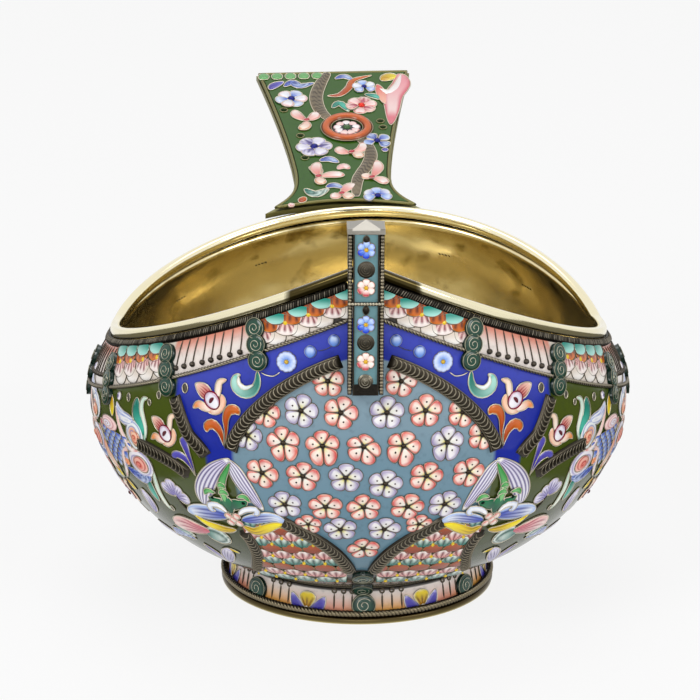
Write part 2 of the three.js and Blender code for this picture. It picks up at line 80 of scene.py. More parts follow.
def shade(root, tip, edge=None, rim=0.35, streak=None, count=4, fade=(0.45, 0.8), halo=None,
          lip=None, ribs=False, fan=0.0, blush=None):
    """A paint for a cell. It runs from root to tip, turns to the edge colour at its sides
    and to the lip colour at its very edge. Streaks follow cos(pi * count * across), or run
    across the spine as ribs, or spread like a fan where fan is above 0. A blush warms one
    side of the tip."""
    root, tip = linear(root), linear(tip)

    def paint(along, across):
        colour = mix(root, tip, ease(0.1, 0.9, along))
        if halo:
            colour = mix(colour, linear(halo), 0.8 * ease(0.35, 0, along))
        if blush:
            side = ease(0.3, 0.8, along) * ease(-0.2, 0.7, across)
            colour = mix(colour, linear(blush), 0.9 * side)
        near = np.maximum(np.abs(across), 2 * along - 1)
        if edge:
            colour = mix(colour, linear(edge), ease(1 - rim, 1 - 0.4 * rim, near))
        if streak:
            phase = across / (along + fan) if fan else across
            phase = 2 * along - 0.35 * across ** 2 if ribs else phase
            comb = (0.5 + 0.5 * np.cos(np.pi * count * phase)) ** 1.4
            reach = ease(fade[1], fade[0], np.abs(across) if ribs else along)
            colour = mix(colour, linear(streak), comb * reach)
        if lip:
            colour = mix(colour, linear(lip), ease(0.84, 0.91, near))
        # The cell's very edge is darkened to 0.3 of its colour: painted shade in the crease along
        # its wire.
        return mix(colour, 0.3 * colour, ease(0.93, 1.0, near))

    return paint


def plain(code):
    """A paint of one colour."""
    colour = linear(code)
    return lambda along, across: np.broadcast_to(colour, (*np.shape(along * across), 3))


print("white is", linear("ffffff"))

# %% [markdown]
# ## Materials
# Painted materials read their colour from the mesh, so one enamel serves every cell.

# %% Node helper and materials


def node(tree, kind, settings=None, **links):
    """A new node. settings are its inputs by name, or its own values; links feed inputs."""
    new = tree.nodes.new(kind)
    for key, value in (settings or {}).items():
        if key in new.inputs:
            new.inputs[key].default_value = value
        else:
            setattr(new, key, value)
    for key, socket in links.items():
        tree.links.new(socket, new.inputs[key.replace("_", " ")])
    return new


def material(name, settings, colour=None, bumps=(), tint=None):
    """A material whose colour comes from the mesh's paint, or is colour, with fine bumps."""
    made = bpy.data.materials.new(name)
    made.use_nodes = True
    tree = made.node_tree
    shader = tree.nodes["Principled BSDF"]
    for key, value in settings.items():
        shader.inputs[key].default_value = value
    place = node(tree, "ShaderNodeTexCoord").outputs["Object"]
    if colour:
        base = node(tree, "ShaderNodeRGB").outputs[0]
        base.default_value = (*linear(colour), 1)
    else:
        base = node(tree, "ShaderNodeAttribute", {"attribute_name": "Paint"}).outputs["Color"]
    if tint:
        scale, dark, low, high = tint
        noise = node(tree, "ShaderNodeTexNoise", {"Scale": 1000 / scale, "Detail": 4.0},
                     Vector=place)
        share = node(tree, "ShaderNodeMapRange", {"From Min": low, "From Max": high},
                     Value=noise.outputs["Fac"])
        blend = node(tree, "ShaderNodeMix", {"data_type": "RGBA"})
        tree.links.new(share.outputs[0], blend.inputs["Factor"])
        tree.links.new(base, blend.inputs[6])
        blend.inputs[7].default_value = (*linear(dark), 1)
        base = blend.outputs[2]
    tree.links.new(base, shader.inputs["Base Color"])
    normal = None
    for scale, height in bumps:
        noise = node(tree, "ShaderNodeTexNoise", {"Scale": 1000 / scale, "Detail": 2.0},
                     Vector=place)
        bump = node(tree, "ShaderNodeBump", {"Strength": 1.0, "Distance": height / 1000},
                    Height=noise.outputs["Fac"])
        if normal:
            tree.links.new(normal, bump.inputs["Normal"])
        normal = bump.outputs["Normal"]
    if normal:
        tree.links.new(normal, shader.inputs["Normal"])
    return made


# Fired glass enamel, glossy and a little uneven.
enamel = material("glass enamel, fired gloss",
                  {"Roughness": 0.16}, bumps=[(1.6, 0.05)])
# Silver wire, rubbed bright on its crests and dark in its hollows.
wire_metal = material("silver wire, rubbed", {"Metallic": 1.0, "Roughness": 0.36})
# Oxidised silver strip under the filigree.
dark_metal = material("silver, oxidised matt", {"Metallic": 1.0, "Roughness": 0.5},
                      bumps=[(0.5, 0.08)])
# The same oxidised silver on the post's plain plates.
plate_metal = material("silver, oxidised plate", {"Metallic": 1.0, "Roughness": 0.5},
                       colour="5f594e", bumps=[(0.5, 0.08)])
# Gilded silver sheet, hand raised and polished, with a few tarnished spots.
gilt = material("gilded silver, polished sheet", {"Metallic": 1.0, "Roughness": 0.16},
                colour="dccfa6", bumps=[(16, 0.5), (3, 0.03)], tint=(7, "8a7848", 0.56, 0.72))
# The same gilding, paler and smoother on the thick rim; its colour is painted on the mesh, with a
# painted dark reflection beside the post.
pale_gilt = material("gilded silver, pale polished rim", {"Metallic": 1.0, "Roughness": 0.13},
                     bumps=[(5, 0.04)])
# Gilding worn by handling, on the foot and the handle's edge.
worn_gilt = material("gilded silver, worn", {"Metallic": 1.0, "Roughness": 0.42},
                     colour="78744c", bumps=[(2, 0.04)])
# Gilding of the foot's base; its colour is painted on the mesh, gold at its foot and a painted
# dark reflection above.
reflection_painted_gilt = material("gilded silver, painted dark reflection", {"Metallic": 1.0, "Roughness": 0.3},
                     bumps=[(2, 0.04)])
# Bare silver, softly polished.
silver = material("silver, soft polish", {"Metallic": 1.0, "Roughness": 0.4},
                  colour="9a968e", bumps=[(1.2, 0.04)])
print("materials:", len(bpy.data.materials))

# %% [markdown]
# ## The wall in numbers
# These are the same curves as the CAD bowl's: the rim rises to a point at the prow and
# softly at the handle, the belly line follows it by a share, and the side is a blunt ellipse
# below the belly and a drawn-in shoulder above it.

# %% The wall
degree = math.pi / 180
belly_radius, lip_radius = 53.4, 49.4
foot_radius, foot_height = 25.4, 8.2
side_height, prow_rise, handle_rise = 53.5, 28.1, 10.9
shoulder_height, lip_height, lip_width = 16.6, 2.3, 2.2
lowest_turn = 97 * degree
prow_curve, handle_curve, rim_sway = 1.45, 1.3, 1.2
belly_follow, lower_fullness, shoulder_fullness = 0.4, 1.62, 2.8
lip_overhang, prow_pull, prow_pull_turn = 0.4, 3.5, 18 * degree
shell_wall, floor_sag = 1.4, 1.5
rope_end_drop, rope_side_widening = 9.35, 2.5
column_step = 22.5
column_turns = [column_step * number for number in range(1, 8)]
foot_bottom, foot_top, foot_bottom_radius, foot_flare = 1.4, 6.8, 26.3, 0.9


def rim_height(turn):
    """Height of the rim's top: a power curve to the prow, a sine to the handle."""
    away = np.abs(turn)
    front = side_height + prow_rise * np.clip(1 - away / lowest_turn, 0, 1) ** prow_curve
    share = np.clip((away - lowest_turn) / (math.pi - lowest_turn), 0, 1)
    rear = side_height + handle_rise * np.sin(share * math.pi / 2) ** handle_curve
    sway = rim_sway * np.sign(turn) * np.sin(share * math.pi)
    return np.where(away < lowest_turn, front, rear + sway)


def belly_line(turn):
    """Height of the widest line, which rises with a share of the rim's own rise."""
    return side_height - shoulder_height + belly_follow * (rim_height(turn) - side_height)


def rope_drop(turn):
    """From the rim's top down to the rope: drop + widening * sin(turn)^2."""
    return rope_end_drop + rope_side_widening * np.sin(turn) ** 2


def lip_edge(turn):
    """Radius of the lip's edge, drawn out to a mild keel at the prow."""
    return lip_radius + prow_pull * np.exp(-np.abs(turn) / prow_pull_turn)


def around(turn, radius, height):
    """Points at a turn, a radius and a height."""
    return np.stack([radius * np.sin(turn), -radius * np.cos(turn), height + 0 * turn], -1)


def wall(turn, level):
    """Points of the outer wall, in millimetres."""
    turn = np.arctan2(np.sin(turn), np.cos(turn))
    belly = belly_line(turn)
    swing = np.clip(level, 0, 1) * math.pi / 2
    power = 2 / lower_fullness
    low_radius = foot_radius + (belly_radius - foot_radius) * np.sin(swing) ** power
    low_height = foot_height + (belly - foot_height) * (1 - np.abs(np.cos(swing)) ** power)
    up = np.clip(level - 1, 0, 1.1)
    draw_in = belly_radius + lip_overhang - lip_edge(turn)
    radius = np.where(level <= 1, low_radius, belly_radius - draw_in * up ** shoulder_fullness)
    edge = rim_height(turn) - lip_height
    height = np.where(level <= 1, low_height, belly + (edge - belly) * up)
    return around(turn, radius, height)


def level_at(turn, height):
    """The level of a height above the table: the wall's height, solved for the level."""
    belly = belly_line(turn)
    upper = 1 + (height - belly) / (rim_height(turn) - lip_height - belly)
    share = np.clip((height - foot_height) / (belly - foot_height), 0, 1)
    lower = np.arccos((1 - share) ** (lower_fullness / 2)) / (math.pi / 2)
    return np.where(height >= belly, upper, lower)


def level_below_rim(turn, drop):
    """The level of a place at a drop below the rim's top."""
    return level_at(turn, rim_height(turn) - drop)


def world_turn(turn, side, rear):
    """The turn round the bowl of a turn in a quarter: side is -1 on the left, and rear
    mirrors the front."""
    return side * (math.pi - turn) if rear else side * turn


def foot_wall_radius(height):
    """Radius of the foot's enamelled side at a height."""
    return foot_bottom_radius - foot_flare * (height - foot_bottom) / (foot_top - foot_bottom)


def foot_side(turn, height):
    """Points of the foot's enamelled side, which leans out to its bottom."""
    return around(turn, foot_wall_radius(height), height)


def unit(vectors):
    """Each vector over its own length."""
    return vectors / (np.linalg.norm(vectors, axis=-1, keepdims=True) + 1e-12)


def normals(surface, u, v):
    """Outward directions: the cross product of the surface's two slopes."""
    step = 1e-4
    along = surface(u + step, v) - surface(u - step, v)
    up = surface(u, v + step) - surface(u, v - step)
    return unit(np.cross(along, up))


rim_high = np.array(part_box("gilt_rim")[1]) * 1000
print("rim top, mm:", float(rim_height(np.array(0.0))), "and in the CAD", rim_high[2].round(2))

# %% [markdown]
# ## Batches, sheets and ribbons
# A batch gathers painted grids of points into one mesh. A sheet is a flat drawing surface
# laid on the wall: it turns (right, up, lift) into a point. A ribbon is the same along a route.

# %% Batches


class Batch:
    """Grids of points, rows by columns, that become one painted mesh."""

    def __init__(self):
        self.points, self.paint, self.quads, self.count = [], [], [], 0

    def add(self, grid, paint, loop_rows=False, loop_columns=False, flip=False):
        """Adds a grid. Its face (i, j) joins (i, j), (i+1, j), (i+1, j+1) and (i, j+1)."""
        rows, columns = grid.shape[:2]
        index = np.arange(rows * columns).reshape(rows, columns)
        if loop_rows:
            index = np.vstack([index, index[:1]])
        if loop_columns:
            index = np.hstack([index, index[:, :1]])
        quads = np.stack([index[:-1, :-1], index[1:, :-1], index[1:, 1:], index[:-1, 1:]], -1)
        quads = quads.reshape(-1, 4)
        if flip:
            quads = quads[:, ::-1]
        self.points.append(grid.reshape(-1, 3))
        self.paint.append(np.broadcast_to(paint, grid.shape).reshape(-1, 3))
        self.quads.append(quads + self.count)
        self.count += rows * columns


def placed(name, data):
    """A new object in the scene."""
    made = bpy.data.objects.new(name, data)
    bpy.context.scene.collection.objects.link(made)
    return made


def mesh_object(name, batch, materials, faces_material=None):
    """One object from a batch, in the row frame in metres, shaded smooth."""
    points = (np.concatenate(batch.points) + axis) / 1000
    quads = np.concatenate(batch.quads)
    mesh = bpy.data.meshes.new(name)
    mesh.vertices.add(len(points))
    mesh.vertices.foreach_set("co", points.ravel())
    mesh.loops.add(quads.size)
    mesh.loops.foreach_set("vertex_index", quads.ravel())
    mesh.polygons.add(len(quads))
    mesh.polygons.foreach_set("loop_start", np.arange(len(quads)) * 4)
    colours = np.ones((len(points), 4))
    colours[:, :3] = np.concatenate(batch.paint)
    layer = mesh.color_attributes.new("Paint", "FLOAT_COLOR", "POINT")
    layer.data.foreach_set("color", colours.ravel())
    for each in materials:
        mesh.materials.append(each)
    if faces_material is not None:
        mesh.polygons.foreach_set("material_index", faces_material)
    mesh.update(calc_edges=True)
    mesh.shade_smooth()
    return placed(name, mesh)


def finish_piece(name, batch, used, slot, *nodes):
    """Turns a batch into a piece of the vessel that stands for some CAD nodes."""
    made = mesh_object(name, batch, [used])
    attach(made, "root")
    if nodes:
        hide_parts(*nodes)
    print(name, 2 * len(made.data.polygons), "triangles")
    return made


# %% Sheets and ribbons
sunk_depth = 0.5


class Sheet:
    """A drawing surface round the place (u, v) of a quarter. With slopes Su and Sv,
    up = Sv/|Sv|, c = Su across up and d = Su along up, a point (a, b) lies at u + a/c and
    v + (b - a d/c)/|Sv|. limit(u, v) is true inside the panel; outside, cells sink."""

    def __init__(self, surface, u, v, side=1, rear=False, size=1.0, limit=None):
        self.surface, self.u, self.v, self.side, self.rear = surface, u, v, side, rear
        self.size, self.limit, self.flip = size, limit, (side < 0) != rear
        step = 1e-4
        across = (self.at_place(u + step, v) - self.at_place(u - step, v)) / (2 * step)
        upward = (self.at_place(u, v + step) - self.at_place(u, v - step)) / (2 * step)
        self.rise = np.linalg.norm(upward)
        self.lean = across @ (upward / self.rise)
        self.reach = np.linalg.norm(across - self.lean * upward / self.rise)

    def world(self, u):
        return world_turn(u, self.side, self.rear)

    def at_place(self, u, v):
        return self.surface(np.asarray(self.world(u)), np.asarray(v, float))

    def __call__(self, a, b, lift):
        a, b = self.size * a, self.size * b
        u = self.u + a / self.reach
        v = self.v + (b - a * self.lean / self.reach) / self.rise
        if self.limit:
            lift = np.where(self.limit(u, v), lift, -sunk_depth)
        out = normals(self.surface, self.world(u), v)
        return self.at_place(u, v) + out * np.asarray(lift)[..., None]


class Flat:
    """A drawing surface on a plane, from its origin and its right and up directions."""

    def __init__(self, origin, right, up):
        self.origin, self.right, self.up = (np.array(each, float) for each in (origin, right, up))
        self.out = unit(np.cross(self.right, self.up))
        self.flip = False

    def moved(self, a, b):
        """The same plane with its origin at the place (a, b)."""
        return Flat(self.origin + a * self.right + b * self.up, self.right, self.up)

    def __call__(self, a, b, lift):
        a, b, lift = (np.asarray(value, float)[..., None] for value in (a, b, lift))
        return self.origin + a * self.right + b * self.up + lift * self.out


class Ribbon:
    """A drawing surface along a route: a is the length along it and b the place across."""

    def __init__(self, surface, u, v, step=0.5):
        path = surface(u, v)
        length = np.r_[0, np.cumsum(np.linalg.norm(np.diff(path, axis=0), axis=1))]
        self.length, self.flip = length[-1], False
        self.places = np.linspace(0, self.length, max(8, int(self.length / step)))
        u, v = (np.interp(self.places, length, values) for values in (u, v))
        self.middle = surface(u, v)
        self.out = normals(surface, u, v)
        self.across = unit(np.cross(self.out, np.gradient(self.middle, axis=0)))

    def __call__(self, a, b, lift):
        a, b, lift = np.broadcast_arrays(*(np.asarray(value, float) for value in (a, b, lift)))
        parts = []
        for field in (self.middle, self.across, self.out):
            parts.append(np.stack([np.interp(a, self.places, field[:, i]) for i in range(3)], -1))
        return parts[0] + b[..., None] * parts[1] + lift[..., None] * parts[2]


# %% [markdown]
# ## Strokes
# A cell is a domed drop of enamel drawn round a spine. Wires are tubes, bright on the crest.

# %% Strokes
bright, black = linear("d8cfb8"), linear("2c2824")
cell_skirt, cell_step = 0.14, 0.42


def smooth_run(points, count):
    """Catmull-Rom: between P1 and P2 it is a cubic with slopes (P2 - P0)/2 and (P3 - P1)/2."""
    points = np.asarray(points, float)
    padded = np.vstack([2 * points[0] - points[1], points, 2 * points[-1] - points[-2]])
    where = np.linspace(0, len(points) - 1, count)
    first = np.minimum(where.astype(int), len(points) - 2)
    t = (where - first)[:, None]
    p0, p1, p2, p3 = (padded[first + i] for i in range(4))
    return 0.5 * (2 * p1 + (p2 - p0) * t + (2 * p0 - 5 * p1 + 4 * p2 - p3) * t ** 2
                  + (3 * p1 - p0 - 3 * p2 + p3) * t ** 3)


def tube(batch, middle, out, radius, sides=6, closed=False, light=bright, dark=black):
    """A tube round a path, with its crest light and its foot dark, and tapered ends."""
    radius = np.broadcast_to(radius, len(middle)).copy()
    if closed:
        ahead, behind = np.roll(middle, -1, 0), np.roll(middle, 1, 0)
        along = unit(ahead - behind)
    else:
        along = unit(np.gradient(middle, axis=0))
        radius[[0, -1]] *= 0.05
    side = unit(np.cross(along, out))
    up = np.cross(side, along)
    angle = np.arange(sides) * 2 * math.pi / sides
    ring = (np.cos(angle)[None, :, None] * side[:, None]
            + np.sin(angle)[None, :, None] * up[:, None])
    grid = middle[:, None] + radius[:, None, None] * ring
    paint = mix(dark, light, ease(0.0, 0.9, np.sin(angle)))
    batch.add(grid, paint[None], loop_rows=closed, loop_columns=True)


def wire(at, points, radius=0.12, lift=0.12, count=None, to=None, light=bright, closed=False,
         dark=black):
    """A wire through points of a sheet, drawn smoothly."""
    run = np.asarray(points, float)
    if count:
        run = smooth_run(run, count)
    middle = at(run[:, 0], run[:, 1], lift + 0 * run[:, 0])
    out = unit(at(run[:, 0], run[:, 1], lift + 1 + 0 * run[:, 0]) - middle)
    tube(wires if to is None else to, middle, out, radius, 6, closed, light, dark)


def drop_shape(along):
    """Half width of a scale: full at its root and round at its tip."""
    return np.sqrt(np.clip(1 - along ** 2.6, 0, 1))


def leaf_shape(shift, blunt):
    """Half width of a leaf, a power of sin(pi * along^shift)."""
    return lambda along: np.abs(np.sin(math.pi * along ** shift)) ** blunt


def cell(at, spine, half, paint, shift=1.0, blunt=0.6, rise=0.32, rows=13, columns=9,
         outline=0.11, shape=None, lift=0.0, light=bright, to=None):
    """A domed cell of enamel round a spine, half wide on each side, with a wire round it."""
    shape = shape or leaf_shape(shift, blunt)
    run = smooth_run(spine, 200)
    reach = np.sum(np.linalg.norm(np.diff(run, axis=0), axis=1))
    rows = max(rows, int(reach / cell_step))
    along = (1 - np.cos(np.linspace(0, math.pi, rows))) / 2
    run = np.stack([np.interp(along, np.linspace(0, 1, 200), run[:, i]) for i in (0, 1)], -1)
    slope = unit(np.gradient(run, axis=0))
    across = np.sin(np.linspace(-math.pi / 2, math.pi / 2, columns))
    width = half * shape(along)
    a = run[:, :1] - slope[:, 1:] * width[:, None] * across
    b = run[:, 1:] + slope[:, :1] * width[:, None] * across
    dome = np.sqrt(np.clip(1 - across ** 2, 0, 1))[None] * (width[:, None] / half) ** 0.4
    height = lift - cell_skirt + (rise + cell_skirt) * dome ** 0.7
    share = np.broadcast_to(along[:, None], a.shape)
    colour = paint(share, np.broadcast_to(across, a.shape))
    (cells if to is None else to).add(at(a, b, height), colour, flip=at.flip)
    if outline:
        edge = np.vstack([np.stack([a[:, -1], b[:, -1]], -1),
                          np.stack([a[::-1, 0], b[::-1, 0]], -1)[1:-1]])
        wire(at, edge, outline, lift + 0.1, light=light, closed=True)


def bead(at, a, b, radius, paint, to, lift=0.0, flatness=1.0, sides=8):
    """A low dome or a granule of that radius."""
    polar = np.linspace(0.02, math.pi / 2 + 0.5, 6)[:, None]
    angle = np.arange(sides)[None] * 2 * math.pi / sides
    right = a + radius * np.sin(polar) * np.cos(angle)
    upward = b + radius * np.sin(polar) * np.sin(angle)
    height = lift + flatness * radius * np.cos(polar) + 0 * angle
    to.add(at(right, upward, height), paint, loop_columns=True, flip=at.flip)


def ellipse(count, wide, high=None):
    """Points of an ellipse, or of a circle where only its radius is given."""
    angle = np.arange(count) * 2 * math.pi / count
    high = wide if high is None else high
    return np.stack([wide * np.cos(angle), high * np.sin(angle)], -1)


def coil(turns, outer, inner=0.15, start=0.0, hand=1, count=40):
    """Points of a spiral: the radius falls evenly from outer to inner over its turns."""
    share = np.linspace(0, 1, count)
    angle = start + hand * share * turns * 2 * math.pi
    radius = outer + (inner - outer) * share
    return np.stack([radius * np.cos(angle), radius * np.sin(angle)], -1)


quarters = [(1, False), (-1, False), (1, True), (-1, True)]
print("strokes ready")

# %% [markdown]
# ## Where the panels meet
# Routes of the ribbed bands, as (turn in degrees, level), for the front right quarter. The
# other quarters mirror it.

# %% Panel edges
half_arch = 27.8 * degree
front_crown_drop, rear_crown_drop = 17.05, 13.45
arch_foot, arch_flank, arch_curve, arch_swing = 0.96, 2.4, 0.62, 86 * degree
column_foot_drop, column_foot_shift = 3.75, 2.85
collar_level, prow_disc_level, prow_disc_turn = 0.28, 0.37, 4.4 * degree
prow_gap_level, scales_end_level = 0.4, 0.276


def arch_crown(rear):
    """Level of the arch's crown, a set drop below the rim."""
    middle, drop = (math.pi, rear_crown_drop) if rear else (0.0, front_crown_drop)
    return float(level_below_rim(np.array(middle), drop))


def arch_level(turn, rear=False):
    """Level of the arch at a turn: a blunt curve from its foot up to its crown."""
    share = np.clip(np.abs(turn) / half_arch, 0, 1)
    return arch_foot + (arch_crown(rear) - arch_foot) * (1 - share ** arch_flank) ** arch_curve


def column_foot(side, rear):
    """Where the upper diagonal starts, beside the foot of the second column."""
    turn = 2 * column_step * degree - column_foot_shift / belly_radius
    world = np.array(world_turn(turn, side, rear))
    return [turn / degree, float(level_below_rim(world, rope_drop(world) + column_foot_drop))]


routes = {
    "upper_diagonal": [[38.4, 1.15], [35.6, 1.03], [33.6, 0.95]],
    "lower_diagonal": [[53.4, 0.97], [48, 0.94], [43, 0.9], [38.8, 0.85]],
    "ogee_band": [[18.4, 0.66], [14.6, 0.615], [10.6, 0.565], [7, 0.5], [4.6, 0.43],
                  [3.4, 0.37]],
    "ogee_side": [[28.6, 0.6], [27.6, 0.55], [27.7, 0.48], [29.4, 0.41], [32.4, 0.33]],
}
upper_run = smooth_run([column_foot(1, False), *routes["upper_diagonal"]], 60)
ogee_run = smooth_run([*routes["ogee_band"], [1.5, 0.3]], 60)[::-1]
side_run = smooth_run([[29.0, 0.7], *routes["ogee_side"], [37, 0.2]], 60)[::-1]


def upper_turn(level):
    """Turn of the upper diagonal at a level."""
    return np.interp(level, upper_run[::-1, 1], upper_run[::-1, 0]) * degree


def ogee_level(turn):
    """Level of the ogee, the lower edge of the front panel."""
    return np.interp(np.abs(turn) / degree, ogee_run[:, 0], ogee_run[:, 1])


def side_turn(level):
    """Turn of the band that closes the scale panel at its side."""
    return np.interp(level, side_run[:, 1], side_run[:, 0]) * degree


def in_front_panel(turn, level):
    """Inside the arch and above the ogee."""
    return (np.abs(turn) < half_arch) & (level < arch_level(turn)) & (level > ogee_level(turn))


def in_scale_panel(turn, level):
    """Under the ogee, between the prow's line and the side band."""
    inner = np.where(level < prow_gap_level, prow_disc_turn, 0)
    return ((turn > inner) & (turn < side_turn(level)) & (level < ogee_level(turn))
            & (level > scales_end_level))


print("arch crowns at levels", round(arch_crown(False), 3), round(arch_crown(True), 3))

# %% [markdown]
# ## The bowl
# One closed sheet: enamelled outside, gilded inside. The enamel's ground colour changes from
# panel to panel, and the edges between colours lie under the ribbed bands.

# %% Ground colours


def ground(world_turn, level):
    """Colour of the enamel ground at each place of the wall."""
    turn = np.abs(world_turn)
    rear = turn > math.pi / 2
    local = np.where(rear, math.pi - turn, turn)
    drop = rim_height(world_turn) - wall(world_turn, level)[..., 2]
    arch = np.where(rear, arch_level(local, True), arch_level(local))
    colour = mix(linear("44520f"), linear("3f4724"), ease(0.95, 0.6, level))
    band = rope_drop(world_turn)
    floor_level = np.where(local < half_arch, arch, 0.9)
    cobalt = (local < upper_turn(level)) & (level > floor_level) & (drop > band - 0.3)
    blue = mix(linear("18299a"), linear("3844b4"), ease(17, 11, drop) * 0.9)
    colour = np.where(cobalt[..., None], blue, colour)
    front = (local < half_arch) & (level < arch) & (level > ogee_level(local))
    colour = np.where(front[..., None], mix(linear("64889a"), linear("8299a6"),
                                            ease(0.6, 1.3, level)), colour)
    scales = (local < side_turn(level)) & (level < ogee_level(local))
    colour = np.where(scales[..., None], linear("3a3128"), colour)
    gap = np.floor(local / (column_step * degree)).astype(int)
    stripes = mix(linear("e08a72"), linear("efe4dc"), ease(3.6, 7.4, drop))
    corner = ease(9, 7, local / degree)[..., None]
    cream = (1 - corner) * linear("ece0d2") + corner * linear("3b352e")
    strip_colour = np.where((gap % 2 == 1)[..., None], stripes, cream)
    colour = np.where((drop < band)[..., None], strip_colour, colour)
    collar = (level < collar_level) | ((level < prow_disc_level) & (local < prow_disc_turn))
    return np.where(collar[..., None], linear("35302a"), colour)


# %% The bowl's sheet
turn_count, edge_level = 400, 1.985
turns = np.linspace(-math.pi, math.pi, turn_count, endpoint=False)
outer_levels = np.r_[np.linspace(0.004, 1, 76), np.linspace(1, edge_level, 74)[1:]]
grid_turn, grid_level = np.meshgrid(turns, outer_levels, indexing="ij")
outside = wall(grid_turn, grid_level)
inner_levels = np.r_[np.linspace(0.004, 1, 30), np.linspace(1, edge_level, 22)[1:]][::-1]
inner_turn, inner_level = np.meshgrid(turns, inner_levels, indexing="ij")
inside = wall(inner_turn, inner_level)
inside = inside - shell_wall * normals(wall, inner_turn, inner_level)


def floor_rings(shares, radius, thickness):
    """Rings of the dished floor, whose height rises with share^2 to the foot joint."""
    heights = [foot_height - floor_sag + floor_sag * share ** 2 + thickness for share in shares]
    return np.stack([around(turns, radius * share, height)
                     for share, height in zip(shares, heights)], 1)


floor_shares = [0.002, 0.35, 0.7, 0.95]
under = floor_rings(floor_shares, foot_radius, 0)
over = floor_rings(floor_shares[::-1], foot_radius - shell_wall, shell_wall)
shell = np.concatenate([under, outside, inside, over], 1)
paint = np.broadcast_to(linear("cfab5c"), shell.shape).copy()
skin = slice(under.shape[1], under.shape[1] + outside.shape[1])
paint[:, skin] = ground(grid_turn, grid_level)
bowl_batch = Batch()
bowl_batch.add(shell, paint, loop_rows=True)
column = np.tile(np.arange(shell.shape[1] - 1), turn_count)
is_gilt = ((column < skin.start) | (column >= skin.stop - 1)).astype(np.int32)
ground_enamel = material("glass enamel ground, fired gloss",
                         {"Roughness": 0.18, "Specular IOR Level": 0.35},
                         bumps=[(2.5, 0.06)],
                         tint=(1.4, "20242c", 0.55, 1.6))
bowl = mesh_object("bowl", bowl_batch, [ground_enamel, gilt], is_gilt)
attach(bowl, "root")
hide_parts("bowl_shell")
print("bowl", 2 * len(bowl.data.polygons), "triangles")

# %% [markdown]
# ## The rim
# A thick lip whose section is a soft rectangle, |x|^p + |y|^p = 1.

# %% Rim
rim_turns = np.linspace(-math.pi, math.pi, 480, endpoint=False)
angle = np.linspace(2 * math.pi, 0, 20, endpoint=False)
squareness = 0.7
out_share, up_share = (np.sign(wave) * np.abs(wave) ** squareness
                       for wave in (np.cos(angle), np.sin(angle)))
radius = (lip_edge(rim_turns) - lip_width / 2)[:, None] + lip_width / 2 * out_share
height = (rim_height(rim_turns) - lip_height / 2)[:, None] + lip_height / 2 * up_share
rim_grid = around(rim_turns[:, None], radius, height)
# The lip beside the post is painted dark, a painted reflection that reaches further on the post's
# left.
dark_reflection_start, dark_reflection_fade = np.where(rim_turns < 0, 16.0, 11.0) * degree, 1.2 * degree
clear_of_dark_reflection = ease(0, dark_reflection_fade, np.abs(rim_turns) - dark_reflection_start)[:, None] + 0 * height
rim_paint = mix(linear("463d22"), linear("efe6c4"), clear_of_dark_reflection)
rim_batch = Batch()
rim_batch.add(rim_grid, rim_paint, loop_rows=True, loop_columns=True)
finish_piece("rim", rim_batch, pale_gilt, "pale_gilt_silver", "gilt_rim")

# %% [markdown]
# ## Wires round the bowl
# A milled strip lies under the lip, and a rope of two twisted strands closes the shoulder band.

# %% Ring wires
post_half_turn = math.asin(3.2 / belly_radius)
rope_width, rope_pitch, rope_seat = 0.9, 1.5, 0.1
rope_dip, dip_half_length = 1.6, 1.7
milled_drop, milled_width, milled_height, tick_step = 3.05, 1.6, 0.6, 0.5


def ring_ribbon(drop_at):
    """A ribbon round the bowl at a drop below the rim, from one side of the post round."""
    turn = np.linspace(post_half_turn, 2 * math.pi - post_half_turn, 721)
    here = np.arctan2(np.sin(turn), np.cos(turn))
    return Ribbon(wall, turn, level_below_rim(here, drop_at(here)))


def twisted(ribbon, diameter, pitch, to, lift, light, sunk=()):
    """Two strands that wind round each other: across = r cos(phase), lift = r sin(phase).
    They dip under what lies over them at each sunk place, given as (middle, half length)."""
    steps = int(ribbon.length / pitch * 9)
    place = np.linspace(0, ribbon.length, steps)
    lift = np.full(steps, float(lift))
    for middle, half in sunk:
        lift -= rope_dip * ease(half + 0.3, half - 0.2, np.abs(place - middle))
    strand = diameter * 0.29
    spread = diameter / 2 - strand
    for start in (0, 0.5):
        phase = 2 * math.pi * (place / pitch + start)
        middle = ribbon(place, spread * np.cos(phase), lift + diameter / 2
                        + spread * np.sin(phase))
        out = unit(ribbon(place, 0 * place, 9 + 0 * place) - ribbon(place, 0 * place, 0 * place))
        tube(to, middle, out, strand, 6, light=light, dark=black)


def strip(ribbon, width, height, to, paint, power=4.0):
    """A solid strip along a ribbon with a crowned top: height * (1 - |x|^power)^(1/2)."""
    place = np.linspace(0, ribbon.length, max(6, int(ribbon.length / 0.6)))
    across = np.r_[-1.0, np.linspace(-1, 1, 9), 1.0]
    crown = np.sqrt(np.clip(1 - np.abs(across) ** power, 0, 1))
    profile = height * (0.35 + 0.65 * crown)
    profile[[0, -1]] = -0.15
    ends = np.ones(len(place))
    ends[[0, -1]] = 0.02
    a, b = np.meshgrid(place, across * width / 2, indexing="ij")
    to.add(ribbon(a, b, profile[None] * ends[:, None]), paint)


